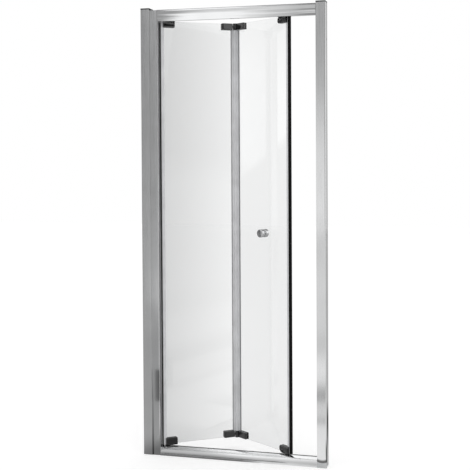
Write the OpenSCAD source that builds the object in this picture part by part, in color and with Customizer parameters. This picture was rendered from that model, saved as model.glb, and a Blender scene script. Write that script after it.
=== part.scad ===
// Bifold shower door: two glass panels that fold into the shower between two wall channels.
// X runs along the doorway, Y points into the shower and Z points up. The origin is the middle
// of the sill's underside. Every size is in millimetres.

/* [Doorway] */
// Width between the two walls
overall_w = 770; // [720:1:900]
// Height over the end caps
overall_h = 1850; // [1700:1:2000]
// Depth of the wall channels, front to back
frame_d = 50; // [48:1:60]
// Angle that each panel has folded from closed, as shown
shown_fold = 35; // [5:1:80]

/* [Wall channels and posts] */
// Width of a wall channel's front flange
channel_w = 39; // [34:1:50]
// Wall of a channel
channel_t = 1.8; // [1.4:0.1:2.4]
// Outer radius of a channel's corners at the wall
channel_r = 5; // [3:0.5:8]
// Width of the hinge post that shows beside its channel
hinge_post_show = 34; // [30:1:40]
// Depth that a post slides into its channel
post_overlap = 20; // [12:1:28]
// Wall of a post
post_t = 1.8; // [1.4:0.1:2.4]
// Outer radius of a post's front corner
post_r = 4; // [2.5:0.5:5]
// Gap between a post and the channel around it
post_gap = 0.3; // [0.2:0.1:0.6]
// Diameter of the wall screw holes
wall_hole_d = 6; // [4:0.5:8]
// Distance between neighbouring wall screw holes
wall_hole_pitch = 775; // [600:5:800]
// Height of the channels' end caps
cap_h = 5; // [3:0.5:8]
// Height of the moulded foot on the latch side
foot_h = 24; // [16:1:32]

/* [Header and sill] */
// Height of the header
header_h = 47; // [46:1:60]
// Drop from the caps' top to the header's top
header_drop = 9; // [6:1:16]
// Height of the sill
sill_h = 32.5; // [32:0.5:40]
// Wall of both rails
rail_t = 2; // [1.6:0.1:2.4]
// Height of the lip along a rail's outer edge
lip_h = 7; // [5:0.5:9]
// Width of the groove between a rail's lip and its crowned face
groove_w = 1.2; // [0.8:0.1:2]
// Rise of the crowned face over its chord
crown = 2.5; // [1.5:0.1:3]

/* [Track] */
// Distance from the frame's back to the line of the pivots
door_setback = 11; // [10:0.5:13]
// Width of the track inside each rail
track_w = 13.4; // [12:0.1:15]
// Height of the track inside each rail
track_h = 16; // [14:0.5:18]
// Width of the slot that the pins pass through
slot_w = 9; // [8.6:0.1:11]
// Gap between a sliding shoe and each wall of the track
shoe_gap = 0.3; // [0.2:0.05:0.5]
// Length of a sliding shoe
shoe_l = 44; // [30:1:50]
// Length of a pivot block
block_l = 40; // [30:1:46]

/* [Glass panels] */
// Thickness of the glass
glass_t = 5; // [4:0.5:6]
// Distance from the pivot to the outer edge of the fixed-side panel
pivot_inset = 14; // [13:0.5:20]
// Distance from the sliding pivot to the closing edge
slider_inset = 20; // [18:0.5:26]
// Distance from the middle of the glass out to the folding hinge's pin
hinge_offset = 12; // [11.8:0.1:14]
// Distance from the folding hinge's pin line to each glass edge
glass_gap = 4; // [3:0.5:6]
// Diameter of the screw holes in the glass
glass_hole_d = 9; // [7:0.5:11]

/* [Clamps and hinges] */
// Length of a corner clamp
clamp_l = 50; // [44:1:60]
// Height of a corner clamp
clamp_h = 30; // [26:1:36]
// Distance that a corner clamp reaches past its pin
clamp_overhang = 6.5; // [6.2:0.1:8]
// Thickness of a clamp's front jaw
front_jaw_t = 8; // [6.5:0.1:8.2]
// Thickness of a clamp's back plate
back_plate_t = 5; // [4:0.5:6]
// Thickness of the pads between the jaws and the glass
pad_t = 0.8; // [0.5:0.1:1]
// Thickness of a corner clamp's base under the glass
clamp_base_t = 4; // [3.5:0.5:6]
// Gap between a corner clamp and the rail beside it
clamp_gap = 1.5; // [1:0.1:3]
// Bevel along a jaw's edges
jaw_bevel = 3; // [1:0.5:4]
// Length of a folding hinge's leaf, from its end to the pin
leaf_l = 56; // [48:1:64]
// Height of a folding hinge
leaf_h = 28; // [24:1:34]
// Radius of a folding hinge's barrel
barrel_r = 8; // [7:0.1:8.2]
// Diameter of the pivot pins
pin_d = 8; // [7:0.5:8]
// Diameter of the folding hinge's pins
hinge_pin_d = 6; // [5:0.5:6]
// Wall of the bushes in the folding hinge
bush_t = 1.5; // [1:0.1:1.8]
// Gap between the hinge's knuckles
knuckle_gap = 0.3; // [0.2:0.1:0.5]
// Radial clearance of a pin that turns in its bore
turn_gap = 0.05; // [0.03:0.01:0.08]

/* [Seals] */
// Gap between the closing panel and the hinge post
hinge_side_gap = 3; // [2.5:0.1:5]
// Gap between the two magnet strips when the door is closed
magnet_gap = 1.9; // [1.2:0.1:3]
// Depth of the door's magnet strip
magnet_w = 11.6; // [8:0.1:13]
// Height that the latch post's magnet strip stands proud
latch_magnet_t = 2.5; // [2:0.1:4]
// Distance that an edge seal's legs reach over the glass
seal_leg = 8.5; // [6:0.5:12]
// Wall of the edge seals
seal_t = 1.5; // [1:0.1:2]
// Radius of the round seal on the folding hinge's axis
bulb_r = 6.5; // [5.5:0.1:6.8]
// Gap between the round seal and the cheek around it
bulb_gap = 0.4; // [0.3:0.1:0.6]

/* [Knob] */
// Diameter of the knobs
knob_d = 34; // [28:1:40]
// Length of one knob from the glass
knob_l = 19; // [14:0.5:19]
// Distance from the folding hinge's pin line to the knobs
knob_x = 160; // [100:1:200]
// Height of the knobs over the floor
knob_z = 920; // [800:1:1200]

/* [Hidden] */
$fn = 64;

// A hair of overlap that makes two shapes one, and the slack of a piece pressed into its seat
fuse = 0.01;
seat_gap = 0.02;
// Clearance of a screw's shank in its hole
screw_gap = 0.05;

// Outline of the frame, seen from above
wall_x = overall_w / 2;
half_d = frame_d / 2;
hinge_face_x = -wall_x + channel_w + hinge_post_show;
latch_proud = 0.6;
latch_face_x = wall_x - channel_w - latch_proud;
post_half_d = half_d - channel_t - post_gap;
base_t = 2;
plug_t = 3;
plug_l = 5.5;
plug_h = 20;
plug_gap = 0.15;
hinge_post_w = hinge_post_show + post_overlap;
latch_post_w = channel_w + latch_proud - base_t - plug_l - 2 * plug_gap;

// Line of the pivots and the track
door_y = half_d - door_setback;
rail_back_y = door_y + track_w / 2 + rail_t;
rail_front_y = -half_d + 1;
pivot_x = hinge_face_x + hinge_side_gap + pivot_inset;
closed_edge_x = latch_face_x - latch_magnet_t - magnet_gap;
// Distance from each outer pivot to the folding hinge, measured along a closed panel
pitch = (closed_edge_x - slider_inset - pivot_x) / 2;

// Heights
header_z1 = overall_h - header_drop;
header_z0 = header_z1 - header_h;
mouth_rise = 10.5;
header_mouth_z = header_z0 + mouth_rise;
slot_lip_t = 2;
clamp_z0 = sill_h + clamp_gap;
clamp_z1 = header_mouth_z - clamp_gap;
glass_z0 = clamp_z0 + clamp_base_t;
glass_z1 = clamp_z1 - clamp_base_t;
leaf_past_glass = 1.5;
leaf_z0 = glass_z0 - leaf_past_glass;
leaf_z1 = glass_z1 + leaf_past_glass;
channel_top_z = overall_h - cap_h;

// Faces of the glass, the clamps' jaws and plates, measured from the middle of the glass
glass_y = glass_t / 2;
jaw_y = glass_y + pad_t;
jaw_front_y = jaw_y + front_jaw_t;
plate_back_y = jaw_y + back_plate_t;

// Screws through the corner clamps and the hinge leaves
clamp_screw_x = [12, 32];
leaf_screw_x = [20, 42];
m5_r = 2.5;
m5_head_r = 4.4;
m5_head_h = 2.4;
m5_bite = 5;
boss_r = 7.5;
boss_t = 1;
lock_screw_r = 3;

// Screws of the frame
small_screw_r = 1.85;
small_head_r = 4;
small_head_h = 2.4;
rail_screw_l = 22;
adjust_screw_l = 12;
adjust_screw_end = 200;
adjust_screw_z = [adjust_screw_end, overall_h / 2, overall_h - adjust_screw_end];
adjust_screw_inset = 10;
block_screw_l = 13;
block_screw_x = [-11, 11];
sill_port_y = -14;

// Grooves that hold the seals in the posts
groove_mouth = 4;
groove_wide = 7;
groove_deep = 2.6;
root_gap = 0.15;
pivot_seal_y = door_y - 2;

// Pins
pin_head_r = 5;
pin_head_h = 2;
pin_reach = 13;

// ---- helpers ------------------------------------------------------------------------------

// Extrude a (Y, Z) outline from x0 to x1
module along_x(x0, x1) {
    translate([x0, 0, 0])
        rotate([90, 0, 90])
            linear_extrude(x1 - x0)
                children();
}

// Extrude an (X, Z) outline from y0 to y1
module along_y(y0, y1) {
    translate([0, y1, 0])
        rotate([90, 0, 0])
            linear_extrude(y1 - y0)
                children();
}

// Extrude an (X, Y) outline from z0 to z1
module along_z(z0, z1) {
    translate([0, 0, z0])
        linear_extrude(z1 - z0)
            children();
}

// Rectangle between two corners
module rect(x0, x1, y0, y1) {
    translate([x0, y0])
        square([x1 - x0, y1 - y0]);
}

// Rectangle between two corners with the corner at x1 and y0 rounded to radius r
module nosed_rect(x0, x1, y0, y1, r) {
    rect(x0, x1 - r, y0, y1);
    rect(x0, x1, y0 + r, y1);
    translate([x1 - r, y0 + r])
        circle(r);
}

// Rectangle between two corners with all four corners rounded to radius r
module round_rect(x0, x1, y0, y1, r) {
    rect(x0 + r, x1 - r, y0, y1);
    rect(x0, x1, y0 + r, y1 - r);
    for (x = [x0 + r, x1 - r], y = [y0 + r, y1 - r])
        translate([x, y])
            circle(r);
}

// Box between two corners
module box(p, q) {
    translate(p)
        cube(q - p);
}

// Shaft along +Y or +X from the point p
module rod_y(p, r, len) {
    translate(p)
        rotate([-90, 0, 0])
            cylinder(h = len, r = r);
}
module rod_x(p, r, len) {
    translate(p)
        rotate([0, 90, 0])
            cylinder(h = len, r = r);
}

// Radius of an arc with the given chord and rise, and the centre of one from p to q that
// bulges to the left of that direction
function arc_radius(chord, rise) = (chord * chord / 4 + rise * rise) / (2 * rise);
function arc_centre(p, q, rise) =
    let (chord = norm(q - p), left = [-(q - p)[1], (q - p)[0]] / chord)
    (p + q) / 2 - left * (arc_radius(chord, rise) - rise);

// Mirror in X for the latch side
module on_side(side) {
    if (side > 0)
        mirror([1, 0, 0])
            children();
    else
        children();
}

// Turn a piece made for the bottom of the door over to the top
module at_top(z0, z1) {
    translate([0, 0, z0 + z1])
        mirror([0, 0, 1])
            children();
}

// Places of the moving parts. On a panel, X runs along the glass from the pin line, Y is
// square to it with the middle of the glass at 0, and Z is the height over the floor.
module on_fixed_panel() {
    translate([pivot_x, door_y, 0])
        rotate([0, 0, shown_fold])
            children();
}
module on_hinge_axis() {
    on_fixed_panel()
        translate([pitch, -hinge_offset, 0])
            children();
}
module on_closing_panel() {
    on_hinge_axis()
        rotate([0, 0, -2 * shown_fold])
            translate([0, hinge_offset, 0])
                children();
}
module on_sliding_pivot() {
    on_closing_panel()
        translate([pitch, 0, 0])
            rotate([0, 0, shown_fold])
                children();
}

// ---- wall channels, posts and caps ----------------------------------------------------------

// U extrusion on the wall at x = -wall_x, with its open side towards the doorway
module channel_profile() {
    difference() {
        union() {
            rect(-wall_x + channel_r, -wall_x + channel_w, -half_d, half_d);
            rect(-wall_x, -wall_x + channel_w, -half_d + channel_r, half_d - channel_r);
            for (s = [-1, 1])
                translate([-wall_x + channel_r, s * (half_d - channel_r)])
                    circle(channel_r);
        }
        rect(-wall_x + base_t, -wall_x + channel_w + 1, -half_d + channel_t, half_d - channel_t);
    }
}

// Heights of the wall screw holes
wall_hole_z = [for (i = [-1 : 1]) overall_h / 2 + i * wall_hole_pitch];

// X of the adjusting screws on the hinge side and on the latch side
adjust_hinge_x = -wall_x + channel_w - adjust_screw_inset;
adjust_hole_r = small_screw_r + screw_gap;

module wall_channel(z0) {
    difference() {
        along_z(z0, channel_top_z)
            channel_profile();
        for (z = wall_hole_z)
            rod_x([-wall_x - 1, 0, z], wall_hole_d / 2, base_t + 2);
        for (z = adjust_screw_z)
            rod_y([adjust_hinge_x, half_d - channel_t - 1, z], adjust_hole_r, channel_t + 2);
    }
}

module left_wall_channel() {
    color("silver")
        wall_channel(0);
}

sole_t = 2;
module right_wall_channel() {
    color("silver")
        on_side(1)
            wall_channel(sole_t);
}

// T-shaped groove for a seal's root, cut from the post's inner face at x = 0 towards -X
module seal_groove(y) {
    rect(-post_t - fuse, 1, y - groove_mouth / 2, y + groove_mouth / 2);
    rect(-post_t - groove_deep, -post_t, y - groove_wide / 2, y + groove_wide / 2);
}

// C extrusion with its inner face at x = 0, its open side towards -X, a rounded front corner
// and one seal groove
module post_profile(width, y) {
    boss = groove_wide / 2 + post_t;
    difference() {
        union() {
            difference() {
                nosed_rect(-width, 0, -post_half_d, post_half_d, post_r);
                nosed_rect(-width - 1, -post_t, -post_half_d + post_t, post_half_d - post_t,
                           post_r - post_t);
            }
            rect(-2 * post_t - groove_deep, -fuse, y - boss, y + boss);
        }
        seal_groove(y);
    }
}

// Places where the two rails are screwed to the posts, as [Y, Z]
sill_crown_p = [rail_front_y, lip_h + groove_w];
ridge_y = door_y - slot_w / 2;
sill_crown_q = [ridge_y, sill_h];
sill_rise = 2 * crown;
sill_arc_r = arc_radius(norm(sill_crown_q - sill_crown_p), sill_rise);
sill_arc_c = arc_centre(sill_crown_p, sill_crown_q, sill_rise);
port_ring_r = 3.6;
port_r = small_screw_r + screw_gap;
sill_port_2_y = sill_port_y + 6;
sill_arc_z = sill_arc_c[1] + sqrt(pow(sill_arc_r, 2) - pow(sill_port_2_y - sill_arc_c[0], 2));
sill_ports = [
    [sill_port_y, rail_t + port_ring_r - 1],
    [sill_port_2_y, sill_arc_z - rail_t - port_ring_r + 1]
];
// Back of the header's front box, clear of everything on the door that swings behind it
swing_gap = 1.5;
header_box_y = door_y - swing_gap - max(norm([slider_inset, magnet_w / 2]), hinge_offset + barrel_r);
// The header's screws lie in the middle of that box, or clear of the posts' rounded corners
header_port_y = max((rail_front_y + header_box_y) / 2, -post_half_d + post_r + small_head_r + screw_gap);
header_ports = [
    [header_port_y, header_z0 + rail_t + port_ring_r - 1],
    [header_port_y, header_z1 - rail_t - port_ring_r + 1]
];
rail_ports = concat(sill_ports, header_ports);

module post(width, y, adjust_x) {
    difference() {
        along_z(0, header_z1)
            post_profile(width, y);
        for (p = rail_ports)
            rod_x([-post_t - 1, p[0], p[1]], port_r + screw_gap, post_t + 2);
        for (z = adjust_screw_z)
            rod_y([adjust_x, post_half_d - post_t - 1, z], adjust_hole_r, post_t + 2);
    }
}

module hinge_post() {
    color("gainsboro")
        translate([hinge_face_x, 0, 0])
            post(hinge_post_w, pivot_seal_y, adjust_hinge_x - hinge_face_x);
}

module latch_post() {
    color("gainsboro")
        on_side(1)
            translate([-latch_face_x, 0, 0])
                post(latch_post_w, door_y, adjust_hinge_x + latch_face_x);
}

// End cap over a channel, with a plug that fits between the channel's base and its post
module end_plug(z0, z1) {
    inner = half_d - channel_t - plug_gap;
    along_z(z0, z1)
        difference() {
            rect(-wall_x + base_t + plug_gap, -wall_x + base_t + plug_l, -inner, inner);
            rect(-wall_x + base_t + plug_t, -wall_x + channel_w, -inner + plug_t, inner - plug_t);
        }
}

module cap_outline() {
    rect(-wall_x + channel_r, -wall_x + channel_w, -half_d, half_d);
    rect(-wall_x, -wall_x + channel_w, -half_d + channel_r, half_d - channel_r);
    for (s = [-1, 1])
        translate([-wall_x + channel_r, s * (half_d - channel_r)])
            circle(channel_r);
}

module top_cap() {
    along_z(channel_top_z, overall_h)
        cap_outline();
    end_plug(channel_top_z - plug_h, channel_top_z + fuse);
}

module left_top_cap() {
    color("dimgray")
        top_cap();
}

module right_top_cap() {
    color("dimgray")
        on_side(1)
            top_cap();
}

// Moulded foot under the latch side's channel: a sole, a plug and a front shield
shield_t = 1.6;
shield_dip = 4;
shield_r = arc_radius(channel_w, shield_dip);
module right_foot_cap() {
    color("silver")
        on_side(1) {
            along_z(0, sole_t)
                difference() {
                    union() {
                        cap_outline();
                        rect(-wall_x, -wall_x + channel_w, -half_d - shield_t, -half_d + channel_r);
                    }
                    rect(-latch_face_x - latch_post_w - post_gap, -wall_x + channel_w + 1,
                         -half_d + channel_t, half_d - channel_t);
                }
            along_y(-half_d - shield_t, -half_d)
                difference() {
                    rect(-wall_x, -wall_x + channel_w, 0, foot_h);
                    translate([-wall_x + channel_w / 2, foot_h - shield_dip + shield_r])
                        circle(shield_r);
                }
            end_plug(sole_t - fuse, plug_h);
        }
}

// ---- header and sill ----------------------------------------------------------------------

module port_ring(p) {
    translate(p)
        circle(port_ring_r);
}
module port_hole(p) {
    translate(p)
        circle(port_r);
}

track_y0 = door_y - track_w / 2;
track_y1 = door_y + track_w / 2;

// Sill, as a (Y, Z) outline: a front lip, a crowned slope up to a ridge, and the track behind it
sill_track_z1 = sill_h - slot_lip_t;
sill_track_z0 = sill_track_z1 - track_h;
rear_lip_drop = 0.5;
module sill_profile() {
    difference() {
        union() {
            rect(-half_d, rail_front_y + rail_t, 0, lip_h);
            intersection() {
                translate(sill_arc_c)
                    circle(sill_arc_r, $fn = 256);
                rect(rail_front_y, ridge_y, 0, sill_h + crown);
            }
            rect(track_y0 - rail_t, rail_back_y, 0, sill_track_z1 - fuse);
            rect(door_y + slot_w / 2, rail_back_y, 0, sill_h - rear_lip_drop);
        }
        difference() {
            intersection() {
                translate(sill_arc_c)
                    circle(sill_arc_r - rail_t, $fn = 256);
                rect(rail_front_y + rail_t, track_y0 - rail_t, rail_t, sill_h);
            }
            for (p = sill_ports)
                port_ring(p);
        }
        for (p = sill_ports)
            port_hole(p);
        rect(track_y0, track_y1, rail_t, sill_track_z0 - rail_t);
        rect(track_y0, track_y1, sill_track_z0, sill_track_z1);
        rect(door_y - slot_w / 2, door_y + slot_w / 2, sill_track_z1 - 1, sill_h + 1);
    }
}

// Holes for a pivot block's screws through a rail's back wall
module block_screw_holes(z) {
    for (x = block_screw_x)
        rod_y([pivot_x + x, track_y1 - 1, z], small_screw_r + 2 * screw_gap, rail_t + 2);
}

bottom_block_z = (sill_track_z0 + sill_track_z1) / 2;
module sill_rail() {
    color("silver")
        difference() {
            along_x(hinge_face_x, latch_face_x)
                sill_profile();
            block_screw_holes(bottom_block_z);
        }
}

// Header, as a (Y, Z) outline: a front box with two lips and a crowned face, and the track
// behind it, raised so that the glass can pass under it
header_track_z0 = header_mouth_z + slot_lip_t;
header_track_z1 = header_track_z0 + track_h;
header_crown_p = [rail_front_y, header_z0 + lip_h + groove_w];
header_crown_q = [rail_front_y, header_z1 - lip_h + 2 - groove_w];
header_arc_r = arc_radius(norm(header_crown_q - header_crown_p), crown);
header_arc_c = arc_centre(header_crown_p, header_crown_q, crown);
module header_profile() {
    front_wall_y = rail_front_y + rail_t;
    difference() {
        union() {
            rect(rail_front_y, header_box_y, header_z0, header_z1);
            rect(-half_d, front_wall_y, header_z0, header_z0 + lip_h);
            rect(-half_d, front_wall_y, header_z1 - lip_h + 2, header_z1);
            intersection() {
                translate(header_arc_c)
                    circle(header_arc_r, $fn = 256);
                rect(rail_front_y - 2 * crown, front_wall_y, header_crown_p[1], header_crown_q[1]);
            }
            rect(header_box_y - fuse, rail_back_y, header_mouth_z, header_z1);
        }
        difference() {
            rect(front_wall_y, header_box_y - rail_t, header_z0 + rail_t, header_z1 - rail_t);
            for (p = header_ports)
                port_ring(p);
        }
        for (p = header_ports)
            port_hole(p);
        rect(header_box_y, track_y0 - rail_t, header_mouth_z + rail_t, header_z1 - rail_t);
        rect(track_y0, track_y1, header_track_z0, header_track_z1);
        rect(track_y0, track_y1, header_track_z1 + rail_t, header_z1 - rail_t);
        rect(door_y - slot_w / 2, door_y + slot_w / 2, header_mouth_z - 1, header_track_z0 + 1);
    }
}

top_block_z = (header_track_z0 + header_track_z1) / 2;
module header_rail() {
    color("silver")
        difference() {
            along_x(hinge_face_x, latch_face_x)
                header_profile();
            block_screw_holes(top_block_z);
        }
}

// ---- fasteners of the frame ---------------------------------------------------------------

// Pan-head screw with its head's underside at p, and its shank along +X or +Y
module pan_screw_x(p, len) {
    rod_x(p, small_screw_r, len);
    difference() {
        rod_x(p - [small_head_h, 0, 0], small_head_r, small_head_h);
        rod_x(p - [small_head_h + 1, 0, 0], small_screw_r, small_head_h);
    }
}
module pan_screw_y(p, len) {
    rod_y(p, small_screw_r, len);
    difference() {
        rod_y(p - [0, small_head_h, 0], small_head_r, small_head_h);
        rod_y(p - [0, small_head_h + 1, 0], small_screw_r, small_head_h);
    }
}

module rail_screws() {
    color("lightgray") {
        for (p = rail_ports)
            pan_screw_x([hinge_face_x - post_t, p[0], p[1]], rail_screw_l);
        on_side(1)
            for (p = rail_ports)
                pan_screw_x([-latch_face_x - post_t, p[0], p[1]], rail_screw_l);
    }
}

module back_screw(x, z, face_y, len) {
    translate([x, face_y, z])
        mirror([0, 1, 0])
            pan_screw_y([0, 0, 0], len);
}

module adjusting_screws() {
    color("lightgray")
        for (x = [adjust_hinge_x, -adjust_hinge_x], z = adjust_screw_z)
            back_screw(x, z, half_d, adjust_screw_l);
}

// Round snap-on cap over each adjusting screw
cover_r = 6;
cover_t = 1.2;
module screw_cover_caps() {
    color("silver")
        for (x = [adjust_hinge_x, -adjust_hinge_x], z = adjust_screw_z)
            translate([x, half_d, z])
                rotate([-90, 0, 0])
                    difference() {
                        union() {
                            cylinder(h = small_head_h + 0.8, r = cover_r);
                            translate([0, 0, small_head_h + 0.8 - fuse])
                                cylinder(h = cover_t - 0.4, r1 = cover_r, r2 = cover_r - 1.5);
                        }
                        translate([0, 0, -1])
                            cylinder(h = small_head_h + 1.2, r = cover_r - cover_t);
                    }
}

module pivot_block_screws() {
    color("lightgray")
        for (x = block_screw_x, z = [bottom_block_z, top_block_z])
            back_screw(pivot_x + x, z, rail_back_y, block_screw_l);
}

// ---- seals of the frame -------------------------------------------------------------------

// Root of a seal that slides into a post's groove, whose mouth is at x = 0
module seal_root(y) {
    rect(-post_t - groove_deep / 2, fuse, y - groove_mouth / 2 + root_gap, y + groove_mouth / 2 - root_gap);
    rect(-post_t - groove_deep + root_gap, -post_t - root_gap,
         y - groove_wide / 2 + root_gap, y + groove_wide / 2 - root_gap);
}

// Black seal on the hinge post: a thin strip beside the panel's edge with three ribs along it
seal_end_gap = 1;
seal_strip_t = 1;
seal_rib_r = 1.2;
module pivot_side_seal() {
    strip_y0 = pivot_seal_y - groove_wide / 2 - 1;
    strip_y1 = rail_back_y - 1;
    color([0.05, 0.05, 0.05])
        along_z(sill_h + seal_end_gap, header_z0 - seal_end_gap)
            translate([hinge_face_x, 0]) {
                seal_root(pivot_seal_y);
                rect(0, seal_strip_t, strip_y0, strip_y1);
                for (y = [strip_y0 + seal_rib_r, (strip_y0 + strip_y1) / 2, strip_y1 - seal_rib_r])
                    intersection() {
                        translate([seal_strip_t - seal_rib_r / 2, y])
                            circle(seal_rib_r, $fn = 24);
                        rect(0, hinge_side_gap, strip_y0, strip_y1);
                    }
            }
}

// Black magnet strip on the latch post, opposite the closing panel's edge
module latch_magnet_strip() {
    color([0.06, 0.06, 0.06])
        along_z(sill_h + seal_end_gap, header_z0 - seal_end_gap)
            translate([latch_face_x, 0])
                mirror([1, 0]) {
                    seal_root(door_y);
                    difference() {
                        rect(0, latch_magnet_t, door_y - magnet_w / 2, door_y + magnet_w / 2);
                        for (s = [-1, 1])
                            translate([latch_magnet_t, door_y + s * magnet_w / 2])
                                rotate(45)
                                    square(1.4, center = true);
                    }
                }
}

// ---- pivot blocks and sliding shoes ---------------------------------------------------------

block_end_gap = 0.3;
// Nylon block in the track with a blind bore for a pivot pin, made for the sill
module pivot_block(z0, z1) {
    w = track_w / 2 - shoe_gap;
    bore_bottom = z1 + slot_lip_t + clamp_gap - pin_reach - block_end_gap;
    difference() {
        along_z(z0 + block_end_gap, z1 - block_end_gap)
            translate([pivot_x, door_y])
                round_rect(hinge_face_x - pivot_x + block_end_gap, block_l / 2, -w, w, 2);
        translate([pivot_x, door_y, bore_bottom])
            cylinder(h = z1, r = pin_d / 2 + turn_gap);
        for (x = block_screw_x)
            rod_y([pivot_x + x, rail_back_y - block_screw_l - 0.5, (z0 + z1) / 2],
                  small_screw_r + screw_gap, track_w);
    }
}

module bottom_pivot_block() {
    color("whitesmoke")
        pivot_block(sill_track_z0, sill_track_z1);
}

module top_pivot_block() {
    color("whitesmoke")
        at_top(header_track_z0, header_track_z1)
            pivot_block(header_track_z0, header_track_z1);
}

// Nylon shoe that slides along the track, with a through bore for the slider pin and a
// cross slot at each end that lets its noses spring
module sliding_shoe(z0, z1) {
    w = track_w / 2 - shoe_gap;
    nose = shoe_l / 2;
    difference() {
        along_z(z0 + block_end_gap, z1 - block_end_gap)
            round_rect(-nose, nose, -w, w, w - 0.5);
        cylinder(h = 2 * overall_h, r = pin_d / 2 + turn_gap, center = true);
        for (s = [-1, 1])
            translate([s * (nose - 7), 0, 0])
                along_z(z0 - 1, z1 + 1)
                    round_rect(-3.5, 3.5, -1.5, 1.5, 1.4);
    }
}

module bottom_sliding_shoe() {
    color("whitesmoke")
        on_sliding_pivot()
            sliding_shoe(sill_track_z0, sill_track_z1);
}

module top_sliding_shoe() {
    color("whitesmoke")
        on_sliding_pivot()
            at_top(header_track_z0, header_track_z1)
                sliding_shoe(header_track_z0, header_track_z1);
}

// Headed pin of a corner clamp, made for the bottom: its head lies under the glass
module pivot_pin() {
    translate([0, 0, clamp_z0 - pin_reach])
        cylinder(h = pin_reach + clamp_base_t - pin_head_h + fuse, r = pin_d / 2);
    translate([0, 0, glass_z0 - pin_head_h])
        cylinder(h = pin_head_h, r = pin_head_r);
}

// ---- glass --------------------------------------------------------------------------------

screw_rise = clamp_base_t + 14.5;
clamp_screw_z = [clamp_z0 + screw_rise, clamp_z1 - screw_rise];
leaf_screw_z = [leaf_z0 + leaf_h / 2, leaf_z1 - leaf_h / 2];

// Sheet from x0 to x1 with the screw holes at the given places
module glass_sheet(x0, x1, clamp_x, leaf_x) {
    difference() {
        box([x0, -glass_y, glass_z0], [x1, glass_y, glass_z1]);
        for (x = clamp_x, z = clamp_screw_z)
            rod_y([x, -glass_t, z], glass_hole_d / 2, 2 * glass_t);
        for (x = leaf_x, z = leaf_screw_z)
            rod_y([x, -glass_t, z], glass_hole_d / 2, 2 * glass_t);
        children();
    }
}

edge_wall = seal_t + 1;
module fixed_side_glass() {
    color([0.8, 0.88, 0.87, 0.4])
        on_fixed_panel()
            glass_sheet(-pivot_inset + edge_wall, pitch - glass_gap,
                        clamp_screw_x, [for (x = leaf_screw_x) pitch - x]);
}

stud_r = 4;
carrier_wall = 1.4;
magnet_x0 = slider_inset - magnet_w;
closing_glass_x1 = pitch + magnet_x0 - carrier_wall;
module closing_side_glass() {
    color([0.8, 0.88, 0.87, 0.4])
        on_closing_panel()
            glass_sheet(glass_gap, closing_glass_x1,
                        [for (x = clamp_screw_x) pitch - x], leaf_screw_x)
                rod_y([knob_x, -glass_t, knob_z], glass_hole_d / 2, 2 * glass_t);
}

// ---- corner clamps --------------------------------------------------------------------------

// Outline of a jaw from the front, as (X, Z). Its inner end is rounded to the radius ends[0]
// beside the rail and ends[1] away from it, and all of it is shrunk by inset.
module jaw_outline(ends, inset) {
    x0 = -clamp_overhang + inset;
    x1 = clamp_l - clamp_overhang - inset;
    intersection() {
        nosed_rect(x0, x1, inset, clamp_h - inset, ends[0] - inset);
        translate([0, clamp_h])
            mirror([0, 1, 0])
                nosed_rect(x0, x1, inset, clamp_h - inset, ends[1] - inset);
    }
}

// Front jaw with the base under the glass, made for the bottom with the pin at x = 0
module clamp_body(ends, boss_x) {
    z = clamp_z0;
    x0 = -clamp_overhang;
    x1 = clamp_l - clamp_overhang;
    difference() {
        union() {
            intersection() {
                along_x(x0, x1)
                    polygon([
                        [-jaw_y, z],
                        [-jaw_y, z + clamp_h],
                        [-jaw_front_y + jaw_bevel, z + clamp_h],
                        [-jaw_front_y, z + clamp_h - 2 * jaw_bevel],
                        [-jaw_front_y, z + 1],
                        [-jaw_front_y + 1, z]
                    ]);
                along_y(-jaw_front_y - 1, 0)
                    translate([0, z])
                        jaw_outline(ends, 0);
            }
            along_y(-jaw_y - 1, plate_back_y)
                translate([0, z])
                    intersection() {
                        jaw_outline(ends, 0);
                        rect(x0, x1, 0, clamp_base_t);
                    }
            if (boss_x > 0)
                rod_y([boss_x, -jaw_front_y - boss_t, z + clamp_h / 2], boss_r, boss_t + 1);
        }
        translate([0, 0, z - 1])
            cylinder(h = clamp_base_t + 2, r = pin_d / 2 + seat_gap);
        translate([0, 0, glass_z0 - pin_head_h])
            cylinder(h = pin_head_h + 1, r = pin_head_r + seat_gap);
        for (x = clamp_screw_x)
            rod_y([x, -jaw_y - m5_bite, z + screw_rise], m5_r + screw_gap, m5_bite + 1);
        if (boss_x > 0)
            rod_y([boss_x, -jaw_front_y - boss_t - 1, z + clamp_h / 2],
                  lock_screw_r + screw_gap, boss_t + 3);
    }
}

module clamp_plate(ends) {
    z = clamp_z0;
    difference() {
        along_y(jaw_y, plate_back_y)
            translate([0, z])
                difference() {
                    jaw_outline(ends, 0);
                    rect(-clamp_l, clamp_l, -1, clamp_base_t);
                }
        for (x = clamp_screw_x) {
            rod_y([x, 0, z + screw_rise], m5_r + screw_gap, plate_back_y + 1);
            translate([x, plate_back_y - m5_head_h, z + screw_rise])
                rotate([-90, 0, 0])
                    cylinder(h = m5_head_h + 1, r = m5_head_r + screw_gap);
        }
    }
}

// Two pads, one on each face of the glass
module clamp_pads(ends) {
    for (s = [-1, 1])
        difference() {
            along_y(s > 0 ? glass_y : -jaw_y, s > 0 ? jaw_y : -glass_y)
                translate([0, clamp_z0])
                    difference() {
                        jaw_outline(ends, pad_inset);
                        rect(-clamp_l, clamp_l, 0, clamp_base_t);
                    }
            for (x = clamp_screw_x)
                rod_y([x, -jaw_y - 1, clamp_z0 + screw_rise], glass_hole_d / 2, 2 * jaw_y + 2);
        }
}

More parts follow.
